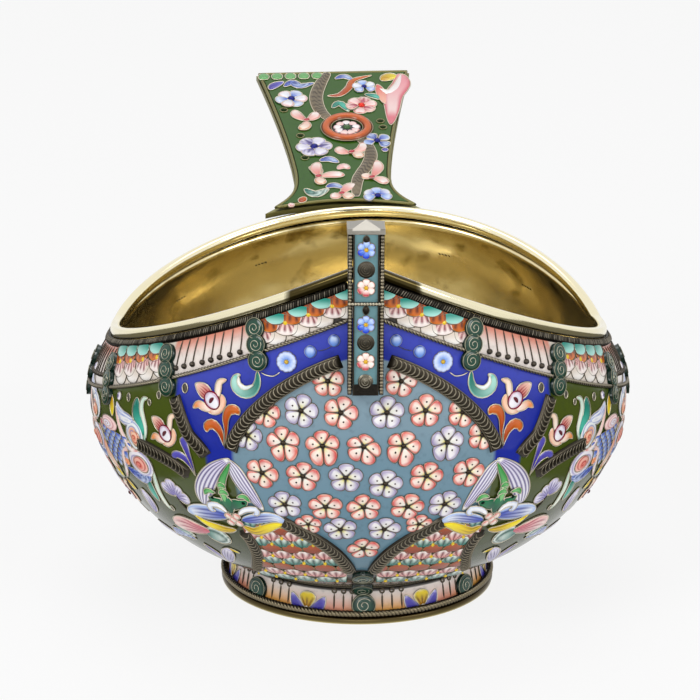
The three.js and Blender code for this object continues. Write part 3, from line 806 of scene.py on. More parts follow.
rings_batch, wires, cells, darks = Batch(), Batch(), Batch(), Batch()
shoulder = ring_ribbon(rope_drop)
column_places = []
for number in [*column_turns, *[360 - turn for turn in column_turns]]:
    column_turn = np.array(number * degree)
    here = np.arctan2(np.sin(column_turn), np.cos(column_turn))
    spot = wall(here, level_below_rim(here, rope_drop(here)))
    nearest = np.argmin(np.linalg.norm(shoulder.middle - spot, axis=1))
    column_places.append((shoulder.places[nearest], dip_half_length))
twisted(shoulder, rope_width, rope_pitch, rings_batch, rope_seat, linear("8a8272"),
        column_places)
finish_piece("shoulder_rope", rings_batch, wire_metal, "oxidised_silver", "shoulder_rope_wire")
milled_batch = Batch()
milled = ring_ribbon(lambda turn: milled_drop + 0 * turn)
strip(milled, milled_width, milled_height, milled_batch, linear("1c1a17"))
for tick in np.arange(0.4, milled.length - 0.4, tick_step):
    run = np.stack([[tick - 0.2, tick + 0.2], [-0.6, 0.6]], -1)
    worth = linear("6e685c") * rng.uniform(0.15, 1.5)
    wire(milled, run, 0.14, 0.62, 5, milled_batch, worth)
finish_piece("milled_strip", milled_batch, dark_metal, "oxidised_silver", "rim_milled_wire")

# %% [markdown]
# ## Ribbed bands
# A dark strip carries crescents of bright wire, bowed towards the band's foot, between two
# fine cords.

# %% Ribbed bands
band_width, band_height, cord_place = 2.6, 0.85, 1.2
crescent_bow, crescent_reach, crescent_pitch = 0.95, 0.98, 0.92


def ribbed(route, side, rear, to):
    """A ribbed band along a route of (turn in degrees, level) places."""
    ribbon = Ribbon(wall, world_turn(route[:, 0] * degree, side, rear), route[:, 1])
    strip(ribbon, band_width, band_height, to, linear("423d35"), power=3.0)
    for place in (-cord_place, cord_place):
        along = np.linspace(0.1, ribbon.length - 0.1, int(ribbon.length / 0.5))
        wire(ribbon, np.stack([along, place + 0 * along], -1), 0.12, 0.62, to=to,
             light=linear("7a7262"))
    angle = np.linspace(-math.pi / 2, math.pi / 2, 13)
    for start in np.arange(0.4, ribbon.length - crescent_bow - 0.2, crescent_pitch):
        along, across = start + crescent_bow * np.cos(angle), crescent_reach * np.sin(angle)
        middle = ribbon(along, across, 0.74 + 0.2 * np.cos(angle))
        out = ribbon(along, across, 3 + 0 * across) - middle
        tube(to, middle, unit(out), 0.12 * (0.5 + 0.5 * np.cos(angle)), 5,
             light=linear("9d9480"))


bands = {}
for side, rear in quarters:
    where = ("rear" if rear else "front") + ("_right" if side > 0 else "_left")
    for name, shares in routes.items():
        points = [column_foot(side, rear), *shares] if name == "upper_diagonal" else shares
        bands[f"{name}_{where}"] = (smooth_run(points, 60), side, rear)
swing = np.linspace(math.asin(math.asin(3.8 / belly_radius) / half_arch) + 1.5 * degree,
                    arch_swing, 80)
for side, name in ((1, "right"), (-1, "left")):
    turn = half_arch * np.sin(swing)
    bands[f"front_arch_{name}"] = (np.stack([turn / degree, arch_level(turn)], -1), side, False)
band_batch, arch_batch = Batch(), Batch()
for name, (route, side, rear) in bands.items():
    ribbed(route, side, rear, arch_batch if "arch" in name else band_batch)
turn = half_arch * np.sin(np.linspace(-arch_swing, arch_swing, 160))
rear_route = np.stack([turn / degree, arch_level(turn, True)], -1)
ribbed(rear_route, 1, True, arch_batch)
finish_piece("panel_bands", band_batch, wire_metal, "oxidised_silver",
             *[name for name in bands if "arch" not in name])
finish_piece("arch_bands", arch_batch, wire_metal, "oxidised_silver",
             "front_arch_left", "front_arch_right", "rear_arch")

# %% [markdown]
# ## Scroll columns
# Three stacked discs of dark green enamel, each with a bright rim wire and a wire spiral.

# %% Scroll columns
disc_radius, disc_height, disc_pitch = 1.93, 1.05, 3.1
disc_above_rope, column_lean = 4.7, 0.9 * degree


def scroll_disc(at, radius, height, hand, to_cells, to_wires, depth):
    """A puck of enamel with a soft edge, a rim wire and a spiral wire on it."""
    share = np.array([0.001, 0.3, 0.6, 0.85, 1.0, 1.0])[:, None]
    lift = np.array([height, height, height, height - 0.04, height - 0.2, -depth])[:, None]
    angle = np.arange(36)[None] * 2 * math.pi / 36
    grid = at(radius * share * np.cos(angle), radius * share * np.sin(angle), lift + 0 * angle)
    colour = mix(linear("0a3f2e"), linear("06251c"), ease(0.6, 1.0, share + 0 * angle))
    to_cells.add(grid, colour, loop_columns=True, flip=at.flip)
    wire(at, ellipse(30, 0.96 * radius), 0.1, height - 0.1, to=to_wires, closed=True,
         light=linear("8a8a74"))
    run = coil(1.6, radius * 0.66, 0.12 * radius, 0.6, hand, 46)
    wire(at, run, 0.08, height + 0.04, to=to_wires, light=linear("bdbaa6"))


disc_cells, disc_wires = Batch(), Batch()
for side in (-1, 1):
    for number in column_turns:
        for rank in (0, 1, 2):
            lean = (rank - 1) * column_lean * math.sin(2 * number * degree)
            turn = side * (number * degree - lean)
            drop = rope_drop(turn) - disc_above_rope + disc_pitch * rank
            at = Sheet(wall, turn, float(level_below_rim(np.array(turn), drop)))
            scroll_disc(at, disc_radius, disc_height, side, disc_cells, disc_wires, 0.1)
column_nodes = [f"scroll_column_{i:02d}" for i in range(1, 15)]
finish_piece("scroll_enamel", disc_cells, enamel, "green_enamel", *column_nodes)
finish_piece("scroll_wires", disc_wires, wire_metal, "bright_silver")

# %% [markdown]
# ## The shoulder band
# Panels of overlapping scales take turns with panels of dark stalks on a peach ground.

# %% Shoulder scales and stalks
teal_scale = shade("0a8c7c", "a4e0d4", lip="e0f0e6")
orange_scale = shade("b04c10", "cf6a1c", lip="dd9440", streak="5a1e06", count=3.6,
                     fade=(0.6, 0.9), fan=0.45)
pink_scale = shade("f4c0b8", "fdf3ee", edge="f2a090", rim=0.25, streak="7a0224", count=3.6,
                   fade=(0.6, 0.85), fan=0.3, lip="fdf6f2")
white_scale = shade("e0d2c4", "fdf8f2")
yellow_tip = plain("e8c41c")
band_foot, band_ends = 3.65, 4.1


def band_drop(world, share):
    """A drop in the shoulder band: share 0 is the milled strip's foot and 1 the rope."""
    return band_foot + share * (rope_drop(world) - band_ends)


def shoulder_sheet(turn, share, side, rear):
    """A sheet on the shoulder band, at a share of the way from the strip to the rope."""
    world = np.array(world_turn(turn, side, rear))
    level = float(level_below_rim(world, band_drop(world, share)))
    return Sheet(wall, turn, level, side, rear)


def scale_shape(along):
    """Half width of a shoulder scale, wide almost to its tip."""
    return np.sqrt(np.clip(1 - along ** 4, 0, 1))


def shoulder_scales(first, count, shifts, side, rear):
    """Rows of scales that hang from the milled strip, each row over the next. A row starts
    at first plus its own shift, in degrees."""
    step = 4.95
    rows = [(0.56, 0.44, white_scale, 0.0), (0.32, 0.5, pink_scale, 0.08),
            (0.02, 0.5, orange_scale, 0.16), (-0.06, 0.38, teal_scale, 0.24)]
    for (share, reach, paint, lift), shift in zip(rows, shifts):
        for number in range(count):
            turn = (first + shift + number * step) * degree
            at = shoulder_sheet(turn, share, side, rear)
            length = reach * (rope_drop(at.world(turn)) - band_ends)
            cell(at, [[0, 0], [0, -length]], 2.5, paint, shape=scale_shape,
                 rows=15, columns=31, lift=lift, outline=0.08, rise=0.25,
                 light=linear("6f6453"))
            if paint is pink_scale:
                cell(at, [[0, 0.1], [0, -0.3 * length]], 0.6, yellow_tip, rows=7, columns=7,
                     lift=lift + 0.08, outline=0)


def stalks(first, last, side, rear):
    """Dark stalks with a granule at the foot."""
    for turn in np.linspace(first, last, 8):
        lean = rng.normal(0, 0.12)
        at = shoulder_sheet(turn, 0.0, side, rear)
        foot = -0.84 * (rope_drop(at.world(turn)) - band_foot)
        wire(at, [[0, 0], [lean, 0.5 * foot], [lean, foot]], 0.14, 0.1, 8, darks,
             linear("5c5247"))
        bead(at, lean, foot, 0.6, linear("4a443d"), darks, 0.15)


for side, rear in quarters:
    start = 2.2 if rear else 4.3
    shoulder_scales(start, 4, (-0.2, 2.3, 1.3, 0.0), side, rear)
    stalks(26.6 * degree, 42.6 * degree, side, rear)
    shoulder_scales(51.0, 4, (-3.4, -1.6, -0.2, 0.0), side, rear)
    stalks(70.5 * degree, 86.4 * degree, side, rear)
finish_piece("shoulder_cells", cells, enamel, "grey_teal_enamel")

# %% [markdown]
# ## Blossoms of the front panel
# Five fat petals with a dark seam between them and a dark dot on each.

# %% Blossoms
cells = Batch()
pink_petal = [shade("f2ecd4", "fae6da", edge="d2443e", rim=0.5, halo="e2d43c", blush="c83040",
                    lip="f4cdb8"),
              shade("f0ece0", "fae0d4", edge="d84c46", rim=0.45, blush="cc3c44",
                    lip="f6d4c2"),
              shade("f4eedc", "f8e6dc", edge="e06a5a", rim=0.5, halo="eee078",
                    blush="d8504c", lip="f6dccc")]
lilac_petal = [shade("eeecd4", "eae8ee", edge="9488b0", rim=0.5, halo="dcd03c",
                     blush="a092bc", lip="e4dee6"),
               shade("ecebe0", "f0ecf0", edge="a498bc", rim=0.45,
                     blush="b0a4c8", lip="e6e0e6")]


def blossom(at, radius, petals, count=5, start=0.3, dots=True, seam=True):
    """Petals round a point, with dark seams, dots and a dark middle."""
    picks = range(count) if len(petals) == count else rng.integers(len(petals), size=count)
    here = [petals[pick] for pick in picks]
    for number in range(count):
        angle = start + number * 2 * math.pi / count
        along = np.array([math.cos(angle), math.sin(angle)])
        half = radius * (0.45 if count == 5 else 0.38)
        cell(at, [along * radius * 0.12, along * radius], half,
             here[number], shift=1.7, blunt=0.55, rows=13, columns=11,
             rise=0.38, outline=0.08, light=linear("85796a"))
        if dots:
            spot = along * radius * 0.55
            bead(at, spot[0], spot[1], 0.22, linear("3a2a28"), darks, 0.3, 0.6, 6)
        if seam:
            angle += math.pi / count
            along = np.array([math.cos(angle), math.sin(angle)])
            wire(at, [along * 0.1, along * radius * 0.84], 0.24, 0.06, to=darks,
                 light=linear("46423a"))
    if seam:
        bead(at, 0, 0, radius * 0.17, linear("3b342c"), darks, 0.1, 0.8)


# Each row: its height and radius, the turns of its pink flowers and of its lilac ones.
blossom_rows = [(59, 3.1, [-7.4, 7.2], []), (53, 3.3, [-4.8, 12.2], [-12.8, 4.4]),
                (46.4, 3.3, [-16.4, -8.4, -0.2, 7.8], [16.8]), (52, 3.0, [-20.2, 20], []),
                (39.8, 3.3, [-21.2, -12.6, 12.8, 21.8], [-3.8]), (38.4, 3.3, [], [4.4]),
                (33.1, 3.3, [-8.2, 0, 9.4], [-17, 17.6]), (47, 3.0, [24.4], [-24]),
                (27.7, 3.2, [], [-5.2, 4.8]), (28.7, 2.6, [-12.4, 12.6], []),
                (22.6, 3.2, [0.2], [])]
for rear in (False, True):
    for height, radius, pinks, lilacs in blossom_rows:
        for place in [*pinks, *lilacs]:
            turn = place * degree
            level = float(level_at(np.array(turn), height))
            under_crown = arch_foot + (arch_crown(rear) - arch_foot) * 0.99
            level = min(level, under_crown) if rear else level
            at = Sheet(wall, turn, level, 1, rear, limit=in_front_panel)
            petals = pink_petal if place in pinks else lilac_petal
            blossom(at, radius, petals, start=rng.uniform(-0.1, 0.5))
finish_piece("panel_blossoms", cells, enamel, "grey_teal_enamel")

# %% [markdown]
# ## Scale panels over the foot
# Rows of mounds in teal, rust and pink, each lower row over the one above.

# %% Scale panels
cells = Batch()
mound_teal = shade("0a8272", "e8f4ea", streak="023c34", count=2.4, fade=(0.7, 0.95), fan=0.25,
                   lip="dfe6d2")
mound_rust = shade("8a3002", "b04c04", lip="c87c34")
mound_pink = shade("f0a8a0", "fcf0ea", streak="78001c", count=2.4, fade=(0.7, 0.95), fan=0.25,
                   lip="ead8c4")
row_levels = [0.308, 0.36, 0.404, 0.445, 0.483, 0.518, 0.55, 0.582, 0.61, 0.638]
for side, rear in quarters:
    for row, level in enumerate(row_levels):
        paint = (mound_teal, mound_pink, mound_rust)[row % 3]
        radius = float(np.hypot(*wall(np.array(0.3), np.array(level))[:2]))
        step = 4.1 / radius
        for number in range(-1, 6):
            turn = 4.2 * degree + (number + 0.5 * (row % 2)) * step
            if turn > side_turn(level) + 2 * degree or level > ogee_level(turn) + 0.03:
                continue
            at = Sheet(wall, max(turn, 0.001), level, side, rear, limit=in_scale_panel)
            lift = 0.62 - row * 0.05
            cell(at, [[0, -0.9], [0, 1.75]], 2.2, paint, shape=drop_shape, rows=11,
                 columns=25, lift=lift, outline=0.07, rise=0.22, light=linear("8a7c64"))
            if paint is not mound_rust:
                cell(at, [[2.0, -0.9], [2.0, 0.1]], 0.4, yellow_tip, rows=5, columns=5,
                     lift=lift + 0.12, outline=0)
finish_piece("scale_panels", cells, enamel, "grey_teal_enamel")
print("so far, wires:", wires.count, "darks:", darks.count)

# %% [markdown]
# ## Spandrels
# On cobalt: pale balls, a daisy, a teal crescent under the first column, a lily bud and two
# orange leaves.

# %% Spandrel motifs
cells = Batch()


def place_sheet(turn, height, side, rear, size=1.0):
    """A sheet at a turn in degrees and a height measured on the front."""
    turn = turn * degree
    level = float(level_at(np.array(turn), height))
    return Sheet(wall, turn, level, side, rear, size)


ball_paint = shade("5f8ee0", "c8dcf8", edge="4468cc", rim=0.4)
daisy_petal = [shade("7fa6ee", "dbe6fb", edge="8fa4e8", rim=0.4)]
lily_fan = shade("b02838", "f6c8b4", edge="f8e0d2", rim=0.3, streak="9a1426", count=5,
                 fade=(0.5, 0.85))
lily_horn = shade("f8e8da", "f8dcc0", edge="eeb294", rim=0.35)
lily_body = shade("f6c0a0", "fae2cc", edge="eaa080", rim=0.4)
lily_lip = shade("fae6d8", "ee8c3c", edge="f0b890", rim=0.35)
lily_eye = shade("f6f4f8", "e8e4f2", edge="c8a4b8", rim=0.45)
crimson = linear("8c1030")
orange_leaf = shade("a83c08", "d0661a", edge="b84c0c", rim=0.3, lip="dc8a40")
teal_leaf = shade("0e7a6a", "4cc0a8", edge="0c6a5c", rim=0.4, lip="bfe4d4")
cream_leaf = shade("cfe4d4", "f4f6ea", edge="a4d0bc", rim=0.4)
crescent_paint = shade("0e7464", "b4e6da", edge="7fd0c0", rim=0.4, lip="e2f2e4")
dark_oval = plain("4a463c")


def daisy(at, radius):
    """A small flower with eleven short petals and a domed yellow middle."""
    blossom(at, radius, daisy_petal, 11, 0.2, dots=False, seam=False)
    bead(at, 0, 0, radius * 0.22, linear("c8a020"), cells, 0.25, 0.7)


def ball(at, radius):
    """A pale round cell."""
    cell(at, [[0, -radius], [0, radius]], radius, ball_paint, blunt=0.5, rise=0.6,
         outline=0.1, light=linear("8a93b0"))


def oval(at, radius):
    """A dark oval with a light rim."""
    cell(at, [[0, -1.35 * radius], [0, 1.35 * radius]], radius, dark_oval, blunt=0.5,
         outline=0.12, rise=0.2)


def lily(at):
    """A bud: a striped fan, a curling horn, a body and a lip round a white heart."""
    cell(at, [[-2.4, 1.0], [-2.7, -0.5], [-1.5, -2.2], [0.4, -2.8]], 0.85, lily_body,
         shift=0.9, blunt=0.5)
    cell(at, [[-0.4, -2.5], [1.4, -2.1], [2.7, -1.8], [3.9, -2.8]], 0.8, lily_lip, shift=0.9,
         blunt=0.55)
    cell(at, [[-0.3, -0.2], [1.4, 1.0], [3.7, 2.1]], 1.45, lily_fan, shift=0.95, blunt=0.7,
         columns=17, lift=0.06)
    cell(at, [[-1.8, 0.4], [-1.7, 2.0], [-2.0, 3.3], [-3.4, 3.9]], 0.72, lily_horn, shift=0.75,
         blunt=0.55, lift=0.08)
    cell(at, [[-1.9, -1.5], [-0.5, -0.4], [0.9, 0.7]], 1.6, lily_eye, blunt=0.45, lift=0.2,
         light=crimson, outline=0.14, columns=15)
    cell(at, [[-1.0, 0.2], [-0.5, -0.3], [-0.2, -0.9]], 0.32, plain("5a0c20"), lift=0.5,
         outline=0.06, light=crimson)


def twin_leaf(at, paint, short, tall):
    """Two leaves on one root: a short one that hooks away from the prow, and a tall one."""
    cell(at, short, 1.0, paint, shift=1.7, blunt=0.65)
    cell(at, tall, 0.95, paint, shift=1.7, blunt=0.65, lift=0.08)


for side, rear in quarters:
    if not rear:
        ball(place_sheet(6.2, 66.8, side, rear), 1.08)
        ball(place_sheet(11.0, 64.4, side, rear), 1.12)
        wire(place_sheet(11.0, 64.4, side, rear), [[-1.2, 0.2], [-2.8, 0.6], [-4.2, 1.4]], 0.09,
             0.06, 8, darks, linear("4a4a60"))
    at = place_sheet(15.9, 62.1, side, rear)
    daisy(at, 2.0)
    wire(at, [[1.2, -2.1], [2.4, -3.0], [3.9, -3.0], [5.0, -2.6]], 0.12, 0.14, 12,
         light=linear("d8cfb8"))
    at = place_sheet(24.6, 56.2, side, rear)
    cell(at, [[-2.3, 3.4], [-2.4, 1.3], [-1.5, -0.4], [0.3, -1.0], [2.0, -0.2], [2.3, 1.4],
              [1.3, 2.4]], 1.0, crescent_paint, shift=1.05, blunt=0.5, columns=13)
    cell(at, [[1.5, 2.1], [1.3, 0.7], [0.0, 0.0], [-1.7, 0.8]], 0.42,
         shade("fbf8f2", "e2f0ee"), lift=0.2, outline=0.08)
    lily(place_sheet(32.7, 53.1, side, rear))
    twin_leaf(place_sheet(29.4, 44.0, side, rear), orange_leaf,
              [[0.0, 0.2], [0.3, 1.5], [0.9, 3.1], [2.3, 4.2], [3.6, 3.6], [3.7, 2.4]],
              [[-0.3, 0.2], [-0.6, 3.2], [-0.5, 5.6], [-1.2, 7.3], [-2.6, 7.5], [-3.4, 6.7]])
    oval(place_sheet(39.4, 53.7, side, rear), 0.7)
finish_piece("spandrel_cells", cells, enamel, "grey_teal_enamel")

# %% [markdown]
# ## Palmettes and wings
# A fluted white and lilac leaf with a green heart stands over two blue and yellow wings.

# %% Palmettes
cells = Batch()
flute = shade("f6f4fb", "e6e0f4", edge="cfc4ea", rim=0.3, streak="3f2c78", count=5,
              fade=(0.9, 1.1), lip="f6f4f0")
light_green = shade("3f9a4c", "7cc478", edge="2a8040", rim=0.4)
deep_green = shade("045038", "0a7848", edge="0c6440", rim=0.3)
white_curl = shade("ffffff", "dce6f8", edge="8aa4e0", rim=0.4, lip="f4f6fa")
blue_wing = shade("3c54c0", "eef4fc", edge="a8c0ee", rim=0.5, streak="2c3c90", count=4,
                  fade=(0.5, 0.9), lip="f2f6fa")
yellow_wing = shade("e8c40c", "f8e420", edge="d4b00c", rim=0.35, streak="8a6408", count=3,
                    fade=(0.2, 0.6), lip="f0dc48")


def palmette(at):
    """Two fluted leaves that lean towards the prow, a green heart, and two pairs of wings."""
    cell(at, [[6.4, 1.2], [5.6, 4.8], [4.0, 8.4], [1.9, 11.6], [-1.0, 14.5]], 2.1, flute,
         shift=0.75, blunt=0.5, columns=31, rise=0.5)
    cell(at, [[-0.8, 14.0], [-1.8, 11.6], [-2.7, 9.2], [-3.7, 6.9], [-4.9, 4.4], [-6.2, 1.8]],
         1.55, flute, shift=0.8, blunt=0.55, columns=27, rise=0.5)
    cell(at, [[-1.2, 13.6], [-0.2, 11.1], [0.8, 8.7], [1.2, 6.5], [1.1, 3.7], [0.7, 0.8]], 0.8,
         light_green, shift=1.1, blunt=0.5, lift=0.3)
    cell(at, [[0.6, 1.4], [2.0, 2.2], [3.4, 2.7], [4.7, 3.8]], 1.35, deep_green, shift=0.8,
         blunt=0.6, lift=0.24)
    cell(at, [[0.8, 1.2], [-0.6, 2.6], [-1.9, 2.9], [-3.5, 4.0]], 1.35, deep_green, shift=0.8,
         blunt=0.6, lift=0.24)
    cell(at, [[0.6, 0.0], [0.8, 2.6], [1.0, 4.8]], 1.3, deep_green, blunt=0.6, lift=0.28)
    for spine in ([[5.3, 4.3], [4.4, 5.5], [2.8, 5.2]], [[-4.1, 3.9], [-3.1, 5.2], [-1.6, 4.8]],
                  [[0.1, 5.0], [1.0, 5.9], [2.0, 5.1]], [[0.4, 6.8], [1.2, 7.6], [1.9, 6.8]]):
        cell(at, spine, 0.6, light_green, blunt=0.6, lift=0.42)
    for a, b in ((3.8, 3.7), (-2.6, 3.4)):
        bead(at, a, b, 0.4, linear("06281c"), darks, 0.5, 0.4)
    cell(at, [[1.4, 0.4], [2.8, 1.9], [4.8, 1.7], [4.8, 0.4], [3.9, 0.3]], 0.7, white_curl,
         lift=0.42, shift=0.8, blunt=0.55)
    cell(at, [[-1.0, 0.2], [-2.6, 1.7], [-4.8, 2.2], [-4.9, 1.1], [-4.0, 0.9]], 0.7, white_curl,
         lift=0.42, shift=0.8, blunt=0.55)
    cell(at, [[1.4, -0.9], [3.8, -0.8], [6.8, -1.1], [9.4, -1.5], [11.6, -2.3]], 2.1, blue_wing,
         shift=1.0, blunt=0.55, columns=21, rise=0.5, lift=0.12)
    cell(at, [[-1.2, -1.5], [-3.2, -0.9], [-5.8, -0.1], [-8.4, 0.2], [-10.9, -1.4]], 1.35,
         blue_wing, shift=0.85, blunt=0.6, columns=21, rise=0.5, lift=0.12)
    cell(at, [[0.9, -4.5], [3.2, -5.0], [5.6, -4.8], [7.8, -4.2], [10.0, -2.5]], 1.05,
         yellow_wing, shift=0.9, blunt=0.6, columns=13, rise=0.45, lift=0.3)
    cell(at, [[-1.2, -3.0], [-3.4, -4.0], [-6.0, -2.8], [-8.2, -1.6], [-10.6, -1.2]], 1.15,
         yellow_wing, shift=0.75, blunt=0.6, columns=13, rise=0.45, lift=0.3)
    middle = Sheet(at.surface, at.u, at.v, at.side, at.rear)
    for a, b in ((-0.4, -0.4), (1.4, -0.6), (0.5, -1.4), (-0.5, -2.3), (1.3, -2.4)):
        cell(middle, [[a, b - 0.7], [a, b + 0.8]], 0.85, pink_petal[1], blunt=0.5, lift=0.4,
             rows=7, columns=7)


for side, rear in quarters:
    palmette(place_sheet(29.4, 29.4, side, rear))
finish_piece("palmettes", cells, enamel, "grey_teal_enamel")

# %% [markdown]
# ## Side panels
# Large scrolls, leaves and flowers on olive, closing towards the middle of the side.

# %% Side motifs
cells = Batch()
violet_leaf = shade("3c2f98", "5a55b8", edge="8c8cd8", rim=0.35, lip="c4c4ec")
ribbed_white = shade("f2f2f8", "fbfaf6", edge="dfe4f2", rim=0.3, streak="6f86cc", count=13,
                     fade=(0.9, 1.1), ribs=True)
pink_white = shade("f4c8c0", "fbf2ee", edge="e89c98", rim=0.4, lip="f6e4dc")
blue_scroll = shade("3f5cc4", "c8daf4", edge="8fa6e4", rim=0.4, streak="26388c", count=9,
                    fade=(0.9, 1.1), ribs=True)
lilac_leaf = shade("8c80c8", "efeaf8", edge="c4bce6", rim=0.35, streak="463a80", count=4,
                   fade=(0.6, 0.95), fan=0.35, lip="ece8f4")
pink_leaf = shade("e07c88", "fbe0d8", edge="f0b0a8", rim=0.35, streak="a83c54", count=4,
                  fade=(0.6, 0.95), fan=0.35, lip="f6dcd2")
teal_fan = shade("0e7c6c", "e4f2ea", edge="f0f6ee", rim=0.25, streak="0a5048", count=7,
                 fade=(0.9, 1.1), ribs=True)
yellow_leaf = shade("c8980c", "ecd82c", edge="f0e07c", rim=0.3)
net_scale = shade("4a68c8", "c0d2f0", edge="e8eef8", rim=0.35)


def whorl(at, a, b, wide, high, outer, inner, line, turns=3.0, start=0.0, lift=0.1):
    """A domed oval. Painted arcs follow a spiral, where turns * share + angle is whole."""
    share = np.linspace(0.01, 1, 26)[:, None]
    angle = np.arange(72)[None] * 2 * math.pi / 72
    height = lift - 0.14 + 0.6 * np.sqrt(np.clip(1 - share ** 2.4, 0, 1))
    grid = at(a + wide * share * np.cos(angle), b + high * share * np.sin(angle),
              height + 0 * angle)
    wave = 0.5 + 0.5 * np.cos(2 * math.pi * turns * share + angle + start)
    colour = mix(linear(inner), linear(outer), ease(0.35, 0.6, share + 0 * angle))
    colour = mix(colour, linear(line), 0.85 * wave ** 4)
    # The oval's very rim is darkened to 0.4 of its colour: painted shade in the crease along its
    # wire.
    cells.add(grid, mix(colour, 0.4 * colour, ease(0.95, 1, share + 0 * angle)),
              loop_columns=True, flip=at.flip)
    wire(at, [a, b] + ellipse(40, wide, high), 0.1, lift + 0.06, closed=True,
         light=linear("b5aa90"))


def side_scrolls(turn, side, rear):
    """Two big scrolls, one over the other, with leaves, a fringe and a yellow tail."""
    at = place_sheet(turn, 41.5, side, rear)
    cell(at, [[7.4, 4.4], [6.2, 2.8], [4.4, 1.9], [2.2, 1.9], [0.2, 1.9]], 1.4, ribbed_white,
         shift=1.1, blunt=0.55, columns=13, rise=0.5)
    cell(at, [[7.6, 3.4], [6.4, 0.6], [4.6, -1.6], [1.8, -3.0], [-1.2, -2.7]], 0.6, pink_white,
         lift=0.08)
    whorl(at, 0.2, -0.2, 3.1, 2.6, "eef2f2", "f2b090", "6a80c0", 3.2, 0.6)
    whorl(at, -0.6, -0.8, 1.5, 1.3, "f4c4a4", "e8947c", "b8382c", 1.8, 1.0, lift=0.4)
    whorl(at, 6.4, 5.9, 0.7, 0.9, "f4f0f8", "4a4468", "8a80b0", 1.0)
    at = place_sheet(turn, 35.0, side, rear)
    cell(at, [[-0.6, 3.0], [3.0, 2.9], [5.6, 0.6], [6.6, -3.0], [8.4, -5.8]], 0.8,
         pink_white, shift=0.8)
    cell(at, [[5.6, -2.6], [2.6, -3.2], [-0.2, -3.2], [-2.8, -2.0]], 1.3, blue_scroll,
         blunt=0.5, columns=11, rise=0.45)
    whorl(at, -0.4, 0.2, 4.0, 3.1, "f4f0f6", "e0685c", "8c84c0", 2.6, 2.0)
    whorl(at, -1.0, 0.3, 2.2, 1.8, "f4b8a8", "e88478", "b02c2c", 2.0, 0.3, lift=0.4)
    whorl(at, 4.5, -0.9, 0.8, 0.9, "f0a070", "f4b890", "d87850", 1.0)
    cell(at, [[9.6, -6.4], [8.4, -7.6], [6.9, -8.0]], 0.8, yellow_leaf)


def scale_net(at):
    """A net of small blue and white scales."""
    for row in range(6):
        for number in range(5 - row // 2):
            place = [6.2 - number * 2.35 - (row % 2) * 1.15 - 0.2 * row, 2.6 - row * 1.15]
            cell(at, [place, [place[0], place[1] - 1.75]], 1.2, net_scale, rows=7, columns=9,
                 outline=0.07, shape=drop_shape, lift=0.2 - row * 0.03, rise=0.2,
                 light=linear("b5aa90"))


def side_leaves(at):
    """A pink wave over the net, and a long peach leaf behind it."""
    cell(at, [[10.0, 1.2], [9.2, -2.0], [6.8, -5.4], [3.8, -6.4]], 1.9,
         shade("f0a080", "fadcc8", edge="e8906c", rim=0.3), columns=13)
    cell(at, [[8.8, 4.4], [7.2, 1.8], [4.6, 1.4]], 1.4, pink_leaf, columns=13)
    whorl(at, 3.9, 4.7, 4.0, 3.1, "f8d4d0", "f0f0fa", "c87884", 3.4, 1.0)


